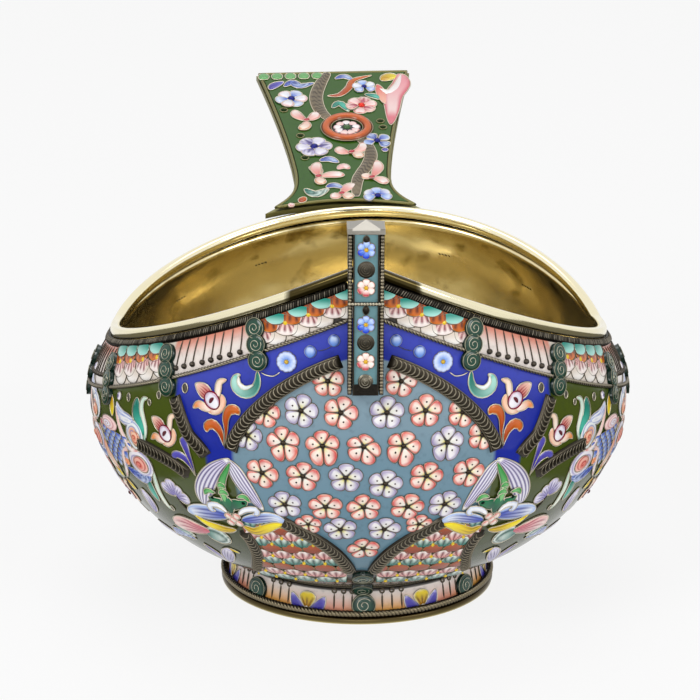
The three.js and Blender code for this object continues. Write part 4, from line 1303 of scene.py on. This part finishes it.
for side, rear in quarters:
    lily(place_sheet(44.8, 44.2, side, rear, size=0.95))
    twin_leaf(place_sheet(36.9, 36.7, side, rear), violet_leaf,
              [[0.2, -0.2], [1.2, 2.1], [2.5, 3.7], [4.2, 4.1], [5.5, 2.4]],
              [[0.1, 0.0], [0.6, 2.5], [1.5, 6.0], [2.1, 9.0], [1.9, 10.7], [0.8, 11.3]])
    at = place_sheet(51.8, 44.3, side, rear)
    cell(at, [[1.9, 4.4], [2.0, 2.4], [1.7, 0.6], [0.2, -1.0], [-0.6, -3.6]], 1.6,
         teal_leaf, blunt=0.5)
    cell(at, [[-1.4, 5.0], [0.0, 4.4], [0.4, 2.6], [-0.3, 0.8], [-1.1, -1.4], [-0.5, -4.4]],
         0.66, cream_leaf, blunt=0.5)
    side_scrolls(54.4, side, rear)
    at = place_sheet(62.0, 37.3, side, rear)
    scale_net(at)
    side_leaves(at)
    cell(place_sheet(65.0, 43.9, side, rear), [[0.1, 2.4], [-0.3, 0.2], [-0.7, -1.8]], 1.1,
         yellow_leaf)
    at = place_sheet(50.5, 30.5, side, rear)
    cell(at, [[2.0, 1.8], [2.5, -1.0], [1.9, -3.8]], 1.15, teal_leaf, blunt=0.5)
    cell(at, [[-0.6, 4.8], [-0.2, 2.0], [0.1, -0.8], [-0.4, -3.8], [-1.4, -5.0]], 0.66,
         cream_leaf, blunt=0.5)
    at = place_sheet(45.0, 31.6, side, rear)
    wire(at, [[-0.2, -1.2], [-0.8, -3.0], [-2.0, -5.0]], 0.2, 0.12, 10, darks,
         linear("4a4236"))
    for tip, half in (((3.0, 0.9), 1.5), ((-1.9, 1.2), 1.2), ((0.7, 2.6), 1.5),
                      ((-3.6, -1.6), 1.5)):
        cell(at, [[0.0, -1.5], [0.5 * tip[0], 0.5 * tip[1] - 0.7], tip], half, lilac_leaf,
             columns=19, blunt=0.5, shift=1.4)
    at = place_sheet(57.0, 27.0, side, rear)
    cell(at, [[2.4, -5.6], [0.9, -2.2], [1.2, 1.6]], 1.8, lilac_leaf, columns=19, shift=1.3)
    cell(place_sheet(61.8, 27.7, side, rear), [[6.6, 3.8], [4.9, 2.5], [3.4, 1.4]], 1.0,
         yellow_leaf)
    at = place_sheet(43.0, 24.3, side, rear)
    cell(at, [[-1.6, -3.0], [-4.4, -2.7], [-7.4, -3.2]], 2.6, teal_fan, columns=21, blunt=0.45,
         rise=0.45)
    cell(at, [[8.2, -3.4], [6.0, -5.0], [3.2, -5.3]], 1.3, teal_fan, columns=13)
    cell(at, [[-3.6, -1.6], [0.4, -1.5], [3.6, -1.6], [7.0, -2.8]], 2.5, pink_leaf, columns=21,
         blunt=0.45, rise=0.5, lift=0.1, shift=1.4)
    at = place_sheet(36.0, 17.0, side, rear)
    cell(at, [[7.4, 1.6], [6.2, -2.0], [6.6, -6.4]], 1.1, lilac_leaf, columns=13)
    cell(at, [[5.6, -6.0], [3.5, -2.4], [1.8, 0.6], [0.5, 2.8]], 1.5, lilac_leaf, columns=17,
         lift=0.08)
    cell(at, [[0.7, 2.7], [-1.4, 1.5]], 0.35, yellow_leaf)
    for turn, height, radius in ((46.8, 50.8, 0.55), (49.6, 48.7, 0.45), (57.3, 47.8, 0.6),
                                 (48.6, 26.4, 0.5), (66.5, 30.6, 0.55)):
        oval(place_sheet(turn, height, side, rear), radius)
    side_scrolls(75.0, side, rear)
    at = place_sheet(80.5, 29.0, side, rear)
    cell(at, [[-6.2, -1.2], [-3.0, 0.4], [0.2, 0.2], [2.6, -1.4]], 1.7, pink_leaf, columns=21)
    cell(at, [[-5.0, -6.4], [-3.4, -3.4], [-0.4, -2.2]], 1.4, lilac_leaf, columns=17)
    lily(place_sheet(70.0, 24.6, side, rear, size=0.95))
    cell(place_sheet(52.0, 18.6, side, rear), [[5.2, -1.6], [1.6, 0.6], [-3.0, 0.2]], 1.6,
         blue_scroll, columns=17)
    cell(place_sheet(64.0, 17.0, side, rear), [[5.2, -0.8], [1.0, 0.6], [-3.6, -0.6]], 1.5,
         lilac_leaf, columns=17)
    cell(place_sheet(79.0, 19.0, side, rear), [[4.6, 0.4], [0.6, 1.0], [-4.6, -0.6]], 1.5,
         teal_fan, columns=17)
for side in (-1, 1):
    at = place_sheet(90.0, 33.0, side, False)
    cell(at, [[0, -13], [0, -6.5], [0, 0]], 1.6, teal_leaf, columns=13)
    cell(at, [[0, 0.4], [0, 6], [0, 11.6]], 1.5, violet_leaf, columns=13)
finish_piece("side_cells", cells, enamel, "grey_teal_enamel")

# %% [markdown]
# ## The foot
# A plain gilt base, a rope, a band of enamel with pins, tulips and scrolls, and a collar wire.

# %% Foot rings


def turned_ring(profile):
    """A closed ring of (radius, height) corners round the axis."""
    turn = np.linspace(0, 2 * math.pi, 240, endpoint=False)[:, None]
    radius, height = np.array(profile, float).T
    return around(turn, radius[None], height[None])


base_batch, wall_batch, foot_batch, collar_batch = Batch(), Batch(), Batch(), Batch()
base_profile = [(24.6, 0), (27.1, 0), (27.5, 0.15), (27.6, 0.5), (27.6, 1.1), (27.4, 1.35),
                (27.0, 1.4), (24.6, 1.4)]
base_grid = turned_ring(base_profile)
# The base is gold at its foot; above that, its colour is a painted dark reflection.
base_paint = mix(linear("c8b878"), linear("463b24"), ease(0.2, 0.6, base_grid[..., 2]))
base_batch.add(base_grid, base_paint, loop_rows=True, loop_columns=True)
finish_piece("foot_base", base_batch, reflection_painted_gilt, "pale_gilt_silver", "foot_base_ring")
foot_thickness = 1.0
outer_side = [(foot_wall_radius(z), z) for z in np.linspace(foot_bottom, foot_top, 28)]
inner_side = [(foot_wall_radius(z) - foot_thickness, z) for z in (foot_bottom, foot_top)]
foot_profile = [inner_side[0], *outer_side, inner_side[1]]
ring_grid = turned_ring(foot_profile)
share = ease(1.8, 6.4, ring_grid[..., 2])
warm = 0.5 + 0.5 * np.sin(7 * np.linspace(0, 2 * math.pi, 240))[:, None]
peach = mix(linear("e08a6c"), linear("e8a23a"), warm + 0 * share)
foot_paint = mix(peach, np.broadcast_to(linear("f4e9e2"), peach.shape), share)
foot_paint = mix(foot_paint, linear("2c2823"), ease(6.25, 6.45, ring_grid[..., 2]))
wall_batch.add(ring_grid, foot_paint, loop_rows=True, loop_columns=True)
finish_piece("foot_enamel_wall", wall_batch, ground_enamel, "foot_enamel", "foot_wall")


def foot_ribbon(height, radius):
    """A ribbon round the foot at a height, on a cylinder of that radius."""
    turn = np.linspace(0, 2 * math.pi, 361)
    return Ribbon(lambda u, v: around(u, radius, v), turn, height + 0 * turn)


twisted(foot_ribbon(2.2, 26.4), 1.4, 1.5, foot_batch, lift=0.0, light=linear("7a705a"))
finish_piece("foot_rope", foot_batch, wire_metal, "oxidised_silver", "foot_rope_wire")
twisted(foot_ribbon(7.4, 24.4), 1.0, 1.0, collar_batch, lift=0.0, light=linear("6a6254"))
finish_piece("foot_collar", collar_batch, wire_metal, "oxidised_silver", "foot_collar_wire")

# %% Foot ornament
cells = Batch()
tulip_yellow = shade("b87c0c", "f0d424", edge="f4e070", rim=0.3, streak="6a3c06", count=2.6,
                     fade=(0.5, 0.8), fan=0.3)
tulip_violet = shade("2c2484", "5048b4", edge="a8a4e0", rim=0.35)


def foot_sheet(turn, height):
    """A sheet on the foot's side."""
    return Sheet(foot_side, turn * degree, height)


def tulip(at):
    """A yellow fan between two violet leaves, on a small pale heart."""
    for sign in (-1, 1):
        cell(at, [[sign * 0.2, -2.3], [sign * 2.1, -1.2], [sign * 3.6, 1.3]], 1.2,
             tulip_violet, blunt=0.6, shift=0.9)
    cell(at, [[0, -1.9], [0, 0.1], [0, 2.0]], 1.75, tulip_yellow, shift=1.9, blunt=0.55,
         columns=17, lift=0.1)
    cell(at, [[0, -2.4], [0, -1.0]], 0.6, plain("f4e4d8"), lift=0.25, outline=0.08)


foot_columns, first_column, foot_middle = 7, 1.6, 3.7
foot_step = 360 / foot_columns
for number in range(foot_columns):
    middle = first_column + number * foot_step
    scroll_disc(foot_sheet(middle, foot_middle), 2.3, 0.95, 1, cells, wires, depth=-0.1)
    tulip(foot_sheet(middle + 0.515 * foot_step, foot_middle))
    for offset in (8.2, 12.6, 17.0, 38.5, 42.6, 46.4):
        pin = foot_sheet(middle + offset, 4.6)
        wire(pin, [[0, 1.4], [0, -2.1]], 0.17, 0.1, 5, darks, linear("554b3e"))
        wire(pin, [0, 1.75] + ellipse(12, 0.42), 0.18, 0.18, to=darks,
             light=linear("5f574b"), closed=True)
for rear in (False, True):
    scroll_disc(Sheet(wall, 0.4 * degree, 0.318, 1, rear), 2.05, 1.0, -1, cells, wires,
                depth=0.1)
    away = 1 if rear else -1
    bridge = Flat([0.4, away * 27.0, 7.5], [-away, 0, 0],
                  [0, away * math.sin(43 * degree), math.cos(43 * degree)])
    scroll_disc(bridge, 2.1, 0.6, -1, cells, wires, depth=0.6)
finish_piece("foot_cells", cells, enamel, "foot_enamel")

# %% [markdown]
# ## The prow post
# A box of plates: its front carries enamel with flowers, dark rings and a boss of wire.

# %% Post
cells, post_wires = Batch(), Batch()
front_y, post_bottom, post_top = -57.0, 57.7, 88.3
boss_height, crossbar = 60.3, 75.3
face = Flat([0, front_y, 0], [1, 0, 0], [0, 0, 1])


def slab(batch, one, other, paint):
    """A closed box between two corners."""
    low, high = np.minimum(one, other), np.maximum(one, other)
    x, y, z = zip(low, high)
    ring = [(x[0], y[0]), (x[1], y[0]), (x[1], y[1]), (x[0], y[1])]
    middle = (low + high) / 2
    rows = []
    for size, height in ((0.001, z[0]), (1, z[0]), (1, z[1]), (0.001, z[1])):
        rows.append([[middle[0] + (a - middle[0]) * size, middle[1] + (b - middle[1]) * size,
                      height] for a, b in ring])
    batch.add(np.array(rows), paint, loop_columns=True, flip=True)


plate = Batch()
slab(plate, [-2.4, front_y, post_bottom], [2.4, front_y + 0.8, post_top], linear("668c92"))
post_plate = finish_piece("post_front", plate, ground_enamel, "grey_teal_enamel",
                          "post_front_plate")
post_plate.data.shade_flat()
frame_batch = Batch()
for sign in (-1, 1):
    slab(frame_batch, [sign * 2.1, front_y - 0.3, post_bottom],
         [sign * 2.4, front_y - 0.02, post_top], linear("3a362f"))
slab(frame_batch, [-2.1, front_y - 0.3, post_bottom],
     [2.1, front_y - 0.02, post_bottom + 2.1], linear("2c2925"))
post_frame = finish_piece("post_front_frame", frame_batch, dark_metal, "oxidised_silver")
post_frame.data.shade_flat()
pale_blue = shade("8ab0f0", "c4d8fa", edge="6c8ce4", rim=0.4)
deep_blue = shade("6a94ec", "2448d4", edge="1c38c0", rim=0.4)
pale_rose = shade("fbe0d4", "fdf4ee", edge="f0a090", rim=0.35)
deep_rose = shade("fbe8e0", "c42440", edge="f4c8bc", rim=0.25)
blue_flower = [pale_blue] * 3 + [deep_blue, deep_blue, pale_blue]
rose_flower = [pale_rose] * 3 + [deep_rose, deep_rose, pale_rose]


def post_flower(height, petals):
    """Six round petals with a yellow middle."""
    at = face.moved(0, height)
    for number, paint in enumerate(petals):
        angle = 0.5 + number * math.pi / 3
        along = np.array([math.cos(angle), math.sin(angle)])
        cell(at, [0.2 * along, 1.72 * along], 0.74, paint, shift=1.6, blunt=0.45, rows=9,
             columns=9, outline=0.08, light=linear("9a8d78"))
    bead(at, 0, 0, 0.42, linear("d8a818"), cells, 0.25, 0.7)


for height, petals in ((85.5, blue_flower), (78.3, rose_flower), (71.3, blue_flower),
                       (64.2, rose_flower)):
    post_flower(height, petals)
for height in (81.7, 67.8):
    bead(face, 0, height, 1.95, linear("4e4a42"), darks, -0.2, 0.2, 24)
    wire(face, coil(2.6, 1.4, 0.3, 1.0, 1, 60) + [0, height], 0.09, 0.2, to=darks,
         light=linear("5f594c"))
for height in (87.3, 74.0):
    cell(face, [[0, height + 0.9], [0, height - 0.9]], 0.6, plain("332f2a"), outline=0.08,
         to=darks, light=linear("6a6456"))
bead(face, 0, boss_height, 1.65, linear("6f695c"), darks, -0.3, 0.4, 24)
wire(face, coil(2.6, 1.35, 0.15, 1.0, 1, 60) + [0, boss_height], 0.11, 0.34, to=post_wires,
     light=linear("8f897a"))


def beaded_edge(across):
    """A column of granules on the post's front, at a place across."""
    low, high, pitch = post_bottom + 0.2, post_top - 0.2, 0.62
    count = int((high - low) / pitch)
    for share in (np.arange(count) + 0.5) / count:
        bead(face, across, low + share * (high - low), 0.4,
             linear("8c8370") * rng.uniform(0.6, 1.15), post_wires, 0.0, 0.9)


for sign in (-1, 1):
    slab(post_wires, [sign * 2.5, front_y + 0.02, post_bottom + 0.05],
         [sign * 3.3, front_y + 0.7, post_top - 0.05], linear("2c2925"))
    beaded_edge(sign * 2.9)
finish_piece("post_cells", cells, enamel, "grey_teal_enamel")

# %% [markdown]
# ## The handle
# A flaring plate with a rising slope. Its enamel carries a stem, a medallion and flowers.

# %% Handle plate
cells = Batch()
slope, handle_turn, tilt = 17.1 * degree, 2.1 * degree, 0.8 * degree
seat_radius, handle_length, waist_place = 49.7, 54, 10
root_half, waist_half, end_half = 17.0, 10.4, 17.2
plate_high, seat_gap, frame_high, panel_high = 1.2, 0.3, 1.1, 0.6
turn_about = np.array([[math.cos(handle_turn), -math.sin(handle_turn), 0],
                       [math.sin(handle_turn), math.cos(handle_turn), 0], [0, 0, 1]])
handle_right = turn_about @ [math.cos(tilt), -math.sin(slope) * math.sin(tilt),
                              math.cos(slope) * math.sin(tilt)]
handle_up = turn_about @ [0, math.cos(slope), math.sin(slope)]
stack_high = plate_high + seat_gap + frame_high
handle_foot = turn_about @ [0, seat_radius + stack_high * math.sin(slope),
                            side_height + handle_rise - plate_high]
handle = Flat(handle_foot, handle_right, handle_up)
root_place = (math.sqrt(seat_radius ** 2 - root_half ** 2) - seat_radius) / math.cos(slope)


def handle_half(place):
    """Half width: a power curve from the waist to the root, another to the end."""
    below = np.clip((waist_place - place) / (waist_place - root_place), 0, None)
    above = np.clip((place - waist_place) / (handle_length - waist_place), 0, None)
    root_flare = (root_half - waist_half) * below ** 2.7
    end_flare = (end_half - waist_half) * above ** 1.34
    return waist_half + np.where(place < waist_place, root_flare, end_flare)


def handle_grid(inset):
    """Places on the plate drawn in by an inset: rows run from the root's arc to the end."""
    across, share = np.linspace(-1, 1, 33), np.linspace(0, 1, 60)[:, None]

    def root(x):
        return (np.sqrt((seat_radius + inset) ** 2 - x ** 2) - seat_radius) / math.cos(slope)

    corner = root_half
    for _ in range(30):
        corner = float(handle_half(root(corner))) - inset
    start = root(corner * across)[None]
    place = start + (handle_length - inset - start) * share
    return (handle_half(place) - inset) * across, place


def handle_slab(inset, bottom, thickness, paint, batch):
    """A closed slab on the plate's outline: a grid over its top, and one under it."""
    a, b = handle_grid(inset)
    top, under = handle(a, b, bottom + thickness), handle(a, b, bottom)
    batch.add(top, paint, flip=True)
    batch.add(under, paint)
    for edge in (np.s_[:, 0], np.s_[:, -1], np.s_[0, :], np.s_[-1, :]):
        wall_strip = np.stack([top[edge], under[edge]])
        flip = edge in (np.s_[:, 0], np.s_[-1, :])
        batch.add(wall_strip, paint, flip=not flip)


panel = Batch()
handle_slab(1.0, plate_high + seat_gap, panel_high, linear("2e5a0a"), panel)
finish_piece("handle_enamel", panel, ground_enamel, "handle_enamel", "handle_enamel_panel")
edge_a, edge_b = handle_grid(0.55)
outline = np.vstack([np.stack([edge_a[0], edge_b[0]], -1),
                     np.stack([edge_a[1:, -1], edge_b[1:, -1]], -1),
                     np.stack([edge_a[-1, -2::-1], edge_b[-1, -2::-1]], -1),
                     np.stack([edge_a[-2:0:-1, 0], edge_b[-2:0:-1, 0]], -1)])
edge_batch = Batch()
wire(handle, outline, 0.38, 1.88, to=edge_batch, closed=True, light=linear("857d52"),
     dark=linear("5c5634"))
finish_piece("handle_edge", edge_batch, worn_gilt, "pale_gilt_silver", "handle_frame_strip")

# %% Handle ornament
panel_top = plate_high + seat_gap + panel_high
top_face = Flat(handle(0.0, 0.0, panel_top), handle_right, handle_up)
stem = shade("362a1c", "3e3224", edge="75664c", rim=0.35, streak="85775c", count=21,
             fade=(0.9, 1.1), ribs=True)
soft_pink = shade("f2b8b8", "fbe8e4", edge="e8908c", rim=0.35)


def draw(spine, half, paint, **more):
    """A cell on the handle's face."""
    cell(top_face, spine, half, paint, **{"blunt": 0.55, "columns": 11, "rise": 0.4, **more})


def ringed(a, b, radius, paint, light):
    """A dark dot in a ring."""
    bead(top_face, a, b, 0.62 * radius, linear(paint), darks, 0.02, 0.6, 12)
    wire(top_face, [a, b] + ellipse(20, radius), 0.12, 0.08, to=darks, light=linear(light),
         closed=True)


def fan_flower(a, b, size, paints, first, last, count=4, dark="2a2c6c"):
    """Petals spread from one side of a point, with a dark heart."""
    for number, angle in enumerate(np.linspace(first * degree, last * degree, count)):
        along = size * np.array([math.cos(angle), math.sin(angle)])
        draw([np.array([a, b]) + 0.15 * along, np.array([a, b]) + along], 0.42 * size,
             paints[number % len(paints)], shift=1.6, lift=0.04 * number)
    bead(top_face, a, b, 0.24 * size, linear(dark), darks, 0.25, 0.6)


draw([[-1.2, 53.2], [-2.9, 48.7], [-4.1, 43.9], [-4.2, 40.0], [-3.4, 36.2], [-1.6, 32.8]], 1.45,
     stem, blunt=0.2)
draw([[3.0, 26.8], [5.5, 23.2], [6.5, 18.5], [5.8, 14.5], [4.1, 10.5], [3.0, 7.4], [2.4, 1.4]],
     1.4, stem, blunt=0.2)
medallion = [1.9, 29.3]
wire(top_face, medallion + ellipse(48, 4.6), 1.05, 0.05, to=cells, light=linear("d0601c"),
     closed=True)
for radius in (3.5, 5.7):
    wire(top_face, medallion + ellipse(48, radius), 0.12, 0.3, closed=True,
         light=linear("a89c82"))
bead(top_face, *medallion, 3.4, linear("2c2c34"), cells, 0.0, 0.1, 24)
blossom(top_face.moved(*medallion), 3.0,
        [soft_pink, shade("f6f2f8", "fdf8f8", edge="f4c4c8")], 9, 0.2, dots=False, seam=False)
bead(top_face, *medallion, 0.9, linear("2c5a24"), cells, 0.3, 0.6)
for number in range(5):
    draw([[-15.6 + number * 3.0, 50.6], [-15.6 + number * 3.0, 53.2]], 1.25, plain("6cae68"),
         blunt=0.25, rows=7, columns=7)
draw([[-14.4, 46.2], [-13.4, 48.0], [-11.2, 49.6]], 1.1, violet_leaf)
draw([[-11.2, 47.4], [-9.4, 49.2], [-7.6, 47.6], [-4.4, 48.8]], 1.15, blue_scroll)
fan_flower(-9.8, 42.0, 3.6, [shade("4a6ccc", "e4ecfa", edge="c0d0f2", rim=0.4),
                             shade("dfe4f4", "fbf6f8", edge="f0c0c4", rim=0.4)], -60, 250, 6)
fan_flower(-5.6, 21.6, 4.0, [lilac_leaf, shade("d8d4ec", "f4f2fa", edge="b8b0d8")], 10, 300,
           6)
fan_flower(5.6, 38.6, 3.5, [soft_pink, pink_leaf], -100, 190, 6, "c83a30")
fan_flower(8.2, 23.6, 3.2, [blue_scroll, shade("2c44b8", "a4bcec", edge="d8e4f6")], -40, 200, 4)
fan_flower(7.0, 1.4, 3.1, [daisy_petal[0], shade("3c5cc8", "eef2fa")], -10, 200, 5)
fan_flower(6.6, 46.6, 2.7, [daisy_petal[0], shade("dfe6f6", "f8f8fc", edge="b8c4e8")], -30,
           230, 5)


def bud(a, b, *tips):
    """A flower of curved petals, from a red heart to their tips, each over the one before."""
    heart = np.array([a, b])
    for number, (tip, bow) in enumerate(tips):
        tip = np.array(tip)
        aside = bow * np.array([-tip[1], tip[0]])
        draw([heart, heart + 0.55 * tip + aside, heart + tip], 1.25, bud_petals[number % 3],
             shift=1.25, lift=0.06 * number)
    draw([heart - [0.7, 0.2], heart + [0.7, 0.2]], 0.6, plain("b83040"), lift=0.3, outline=0.08)


bud_petals = [shade("e88c84", "fbeee8", edge="f4b4a4", rim=0.35),
              shade("f0b0a4", "fdf6f2", edge="e89488", rim=0.35),
              shade("f4c4b8", "f8ecdc", edge="e89c70", rim=0.35)]
bud(-6.8, 32.6, ((-2.6, 4.6), 0.1), ((2.2, 3.6), -0.15), ((-1.8, -3.6), 0.2))
bud(2.4, 19.0, ((-2.8, 2.4), 0.25), ((2.6, 4.0), -0.25), ((1.6, -2.4), 0.2))
bud(-5.2, 9.4, ((-1.8, 4.2), -0.2), ((5.6, 0.4), 0.1), ((1.4, -2.6), -0.2), ((0.2, 5.6), 0.1))
bud(6.2, 8.6, ((1.4, 7.0), -0.1), ((3.0, -2.6), 0.15), ((-1.6, 1.6), 0.2))
bud(-0.6, 2.4, ((3.6, 3.8), 0.15), ((-2.4, -0.4), 0.2), ((2.0, -2.0), 0.1))
draw([[9.0, 20.0], [10.4, 19.8]], 0.8, violet_leaf)
draw([[-4.7, 15.9], [-2.6, 16.6], [-0.6, 15.0]], 1.05, blue_scroll)
draw([[-1.0, 12.4], [0.4, 13.6], [1.6, 12.4]], 0.95, soft_pink)
draw([[-8.4, 4.8], [-6.2, 2.6], [-3.2, 4.6]], 1.2, teal_fan)
draw([[-3.8, 5.2], [-2.0, 6.0], [-0.2, 4.8]], 0.95, blue_scroll)
draw([[-9.6, -0.6], [-8.4, 1.6]], 0.9, orange_leaf)
draw([[-12.0, -1.9], [-10.9, -1.0]], 0.7, soft_pink)
draw([[15.0, 52.0], [15.0, 47.6], [12.9, 42.4], [12.3, 36.6], [11.6, 30.2]], 2.2,
     shade("ee9aa4", "fae0dc", edge="e27c88", rim=0.5), columns=15, rise=0.5, shift=0.75)
draw([[9.4, 45.8], [11.8, 43.8], [13.9, 46.4], [15.2, 51.6]], 1.0, shade("fdfaf8", "f6e8e8"),
     lift=0.2)
draw([[9.6, 47.4], [10.3, 43.4], [10.9, 39.0]], 1.1, shade("e86c64", "f6b8a4"), lift=0.12)
draw([[10.6, 49.2], [12.4, 50.8], [14.4, 50.6]], 1.6, yellow_leaf)
draw([[-0.9, 37.8], [0.8, 39.8], [2.7, 36.2]], 0.95, teal_leaf)
draw([[6.6, 43.4], [8.6, 42.6], [10.6, 41.0]], 0.95, teal_leaf)
draw([[-1.7, 43.0], [1.0, 43.4], [3.2, 46.4], [4.4, 49.6], [8.6, 51.6]], 0.85, orange_leaf)
draw([[0.3, 50.4], [2.4, 51.4], [4.2, 49.8]], 0.9, blue_scroll)
for a, b in ((9.4, 31.9), (9.8, 29.3), (-8.4, 26.5), (-7.8, 17.3), (-11.6, 37.4)):
    ringed(a, b, 0.85, "1c2a12", "8f8a62")
finish_piece("handle_cells", cells, enamel, "handle_enamel")

# %% [markdown]
# ## Wires and granules
# All cell wires form one piece, the dark seams and granules another. What stays of the CAD
# plates takes the scene's metals.

# %% Wires, granules and plates


def in_parts(batch, name, used, slot):
    """Splits a heavy batch so that each piece stays under 200,000 triangles."""
    part, number, most_points = Batch(), 1, 90000
    for points, paint, quads in zip(batch.points, batch.paint, batch.quads):
        quads = quads - quads.min()
        part.points.append(points)
        part.paint.append(paint)
        part.quads.append(quads + part.count)
        part.count += len(points)
        if part.count > most_points:
            finish_piece(f"{name}_{number}", part, used, slot)
            part, number = Batch(), number + 1
    if part.count:
        finish_piece(f"{name}_{number}", part, used, slot)


in_parts(wires, "cell_wires", wire_metal, "bright_silver")
in_parts(darks, "dark_granules", wire_metal, "oxidised_silver")
slab(post_wires, [-3.25, front_y - 0.6, crossbar - 0.3],
     [3.25, front_y - 0.1, crossbar + 0.3], linear("4a453c"))
for share in np.linspace(-1, 1, 12):
    bead(face, 3.0 * share, crossbar, 0.38, linear("b5ad98"), post_wires, 0.35, 0.9)
finish_piece("post_wires", post_wires, wire_metal, "bright_silver", "post_edge_wire_left",
             "post_edge_wire_right", "post_crossbar_wire")
bare_plates = {"post_left_plate": plate_metal, "post_right_plate": plate_metal,
               "post_back_plate": plate_metal, "post_bottom_plate": plate_metal,
               "post_cap": silver, "handle_plate": worn_gilt}
for name, metal in bare_plates.items():
    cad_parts[name].data.materials.clear()
    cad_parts[name].data.materials.append(metal)

# %% [markdown]
# ## Floor, light and camera
# A white floor keeps a soft shadow. Large soft lamps stand to the left, right and above.

# %% Floor and world


def flat_sheet(name, low, high, used):
    """A sheet of one face between two corners, in metres."""
    (x0, y0, z0), (x1, y1, z1) = low, high
    mesh = bpy.data.meshes.new(name)
    mesh.from_pydata([(x0, y0, z0), (x1, y0, z0), (x1, y1, z1), (x0, y1, z1)], [],
                     [(0, 1, 2, 3)])
    mesh.materials.append(used)
    return placed(name, mesh)


def direct_view(tree):
    """1 for what the camera or a mirror sees, and 0 for other light."""
    path = node(tree, "ShaderNodeLightPath")
    direct = node(tree, "ShaderNodeMath", {"operation": "MAXIMUM"})
    tree.links.new(path.outputs["Is Camera Ray"], direct.inputs[0])
    tree.links.new(path.outputs["Is Glossy Ray"], direct.inputs[1])
    return direct.outputs[0]


paper = bpy.data.materials.new("white paper, matt")
paper.use_nodes = True
tree = paper.node_tree
tree.nodes["Principled BSDF"].inputs["Base Color"].default_value = (0.82, 0.82, 0.82, 1)
tree.nodes["Principled BSDF"].inputs["Roughness"].default_value = 0.9
glow = node(tree, "ShaderNodeEmission", {"Color": (1, 1, 1, 1), "Strength": 1.0})
seen = node(tree, "ShaderNodeMath", {"operation": "MULTIPLY"})
tree.links.new(direct_view(tree), seen.inputs[0])
seen.inputs[1].default_value = 0.85
blend = node(tree, "ShaderNodeMixShader")
tree.links.new(seen.outputs[0], blend.inputs["Fac"])
tree.links.new(tree.nodes["Principled BSDF"].outputs[0], blend.inputs[1])
tree.links.new(glow.outputs[0], blend.inputs[2])
tree.links.new(blend.outputs[0], tree.nodes["Material Output"].inputs["Surface"])
floor = flat_sheet("floor", (-6, -6, 0), (6, 6, 0), paper)


def dark_card(name, low, high):
    """A dark sheet that only mirrors see, as the room around a camera."""
    card = flat_sheet(name, low, high, card_cloth)
    card.visible_camera = card.visible_diffuse = card.visible_shadow = False


# Black cloth that keeps reflections deep.
card_cloth = bpy.data.materials.new("black cloth, matt")
card_cloth.use_nodes = True
cloth = card_cloth.node_tree.nodes["Principled BSDF"]
cloth.inputs["Base Color"].default_value = (0.15, 0.14, 0.1, 1)
cloth.inputs["Roughness"].default_value = 1.0
over_floor = 0.002
dark_card("front_card", (-0.16, -0.7, over_floor), (0.12, -0.11, over_floor))
dark_card("high_card", (-0.12, -0.8, 0.2), (0.09, -0.8, 0.9))
for name, sign in (("left_card", -1), ("right_card", 1)):
    dark_card(name, (sign * 0.07, -0.11, over_floor), (sign * 0.5, 0.1, over_floor))
world = bpy.context.scene.world or bpy.data.worlds.new("world")
bpy.context.scene.world = world
world.use_nodes = True
tree = world.node_tree
tree.nodes.clear()
strength = node(tree, "ShaderNodeMapRange", {"To Min": 0.3, "To Max": 1.0},
                Value=direct_view(tree))
background = node(tree, "ShaderNodeBackground", {"Color": (1, 1, 1, 1)},
                  Strength=strength.outputs[0])
node(tree, "ShaderNodeOutputWorld", Surface=background.outputs[0])

# %% Lamps and camera


def lamp(name, place, target, size, power):
    """A square soft lamp at a place, facing a target, both in metres in the row frame."""
    data = bpy.data.lights.new(name, "AREA")
    data.shape, data.size, data.energy = "SQUARE", size, power
    made = bpy.data.objects.new(name, data)
    made.location = place
    away = Vector(place) - Vector(target)
    made.rotation_mode = "QUATERNION"
    made.rotation_quaternion = away.to_track_quat("Z", "Y")
    bpy.context.scene.collection.objects.link(made)
    return made


middle = (0, -0.022, 0.045)
lamp("key", (-0.75, -0.75, 0.75), middle, 0.5, 5.9)
lamp("fill", (0.8, -0.7, 0.55), middle, 0.5, 4.1)
lamp("top", (0.0, 0.25, 1.1), middle, 0.6, 3)
lamp("low", (0.0, -0.9, 0.14), middle, 0.4, 1.9)

elevation, swing_round, roll = 17.9 * degree, -1.2 * degree, 0.3 * degree
back = Vector((math.sin(swing_round) * math.cos(elevation),
               -math.cos(swing_round) * math.cos(elevation), math.sin(elevation)))
right = Vector((math.cos(swing_round), math.sin(swing_round), 0))
up = back.cross(right)
rolled_right = right * math.cos(roll) + up * math.sin(roll)
rolled_up = up * math.cos(roll) - right * math.sin(roll)
aim = Vector((-1.68, float(axis[1]), 48.0)) / 1000
camera_data = bpy.data.cameras.new("camera")
camera_data.lens, camera_data.sensor_width = 180, 36
camera = bpy.data.objects.new("camera", camera_data)
turning = Matrix((rolled_right, rolled_up, back)).transposed()
camera.matrix_world = Matrix.Translation(aim + back * 0.7) @ turning.to_4x4()
bpy.context.scene.collection.objects.link(camera)
bpy.context.scene.camera = camera
bpy.context.scene.view_settings.view_transform = "Standard"
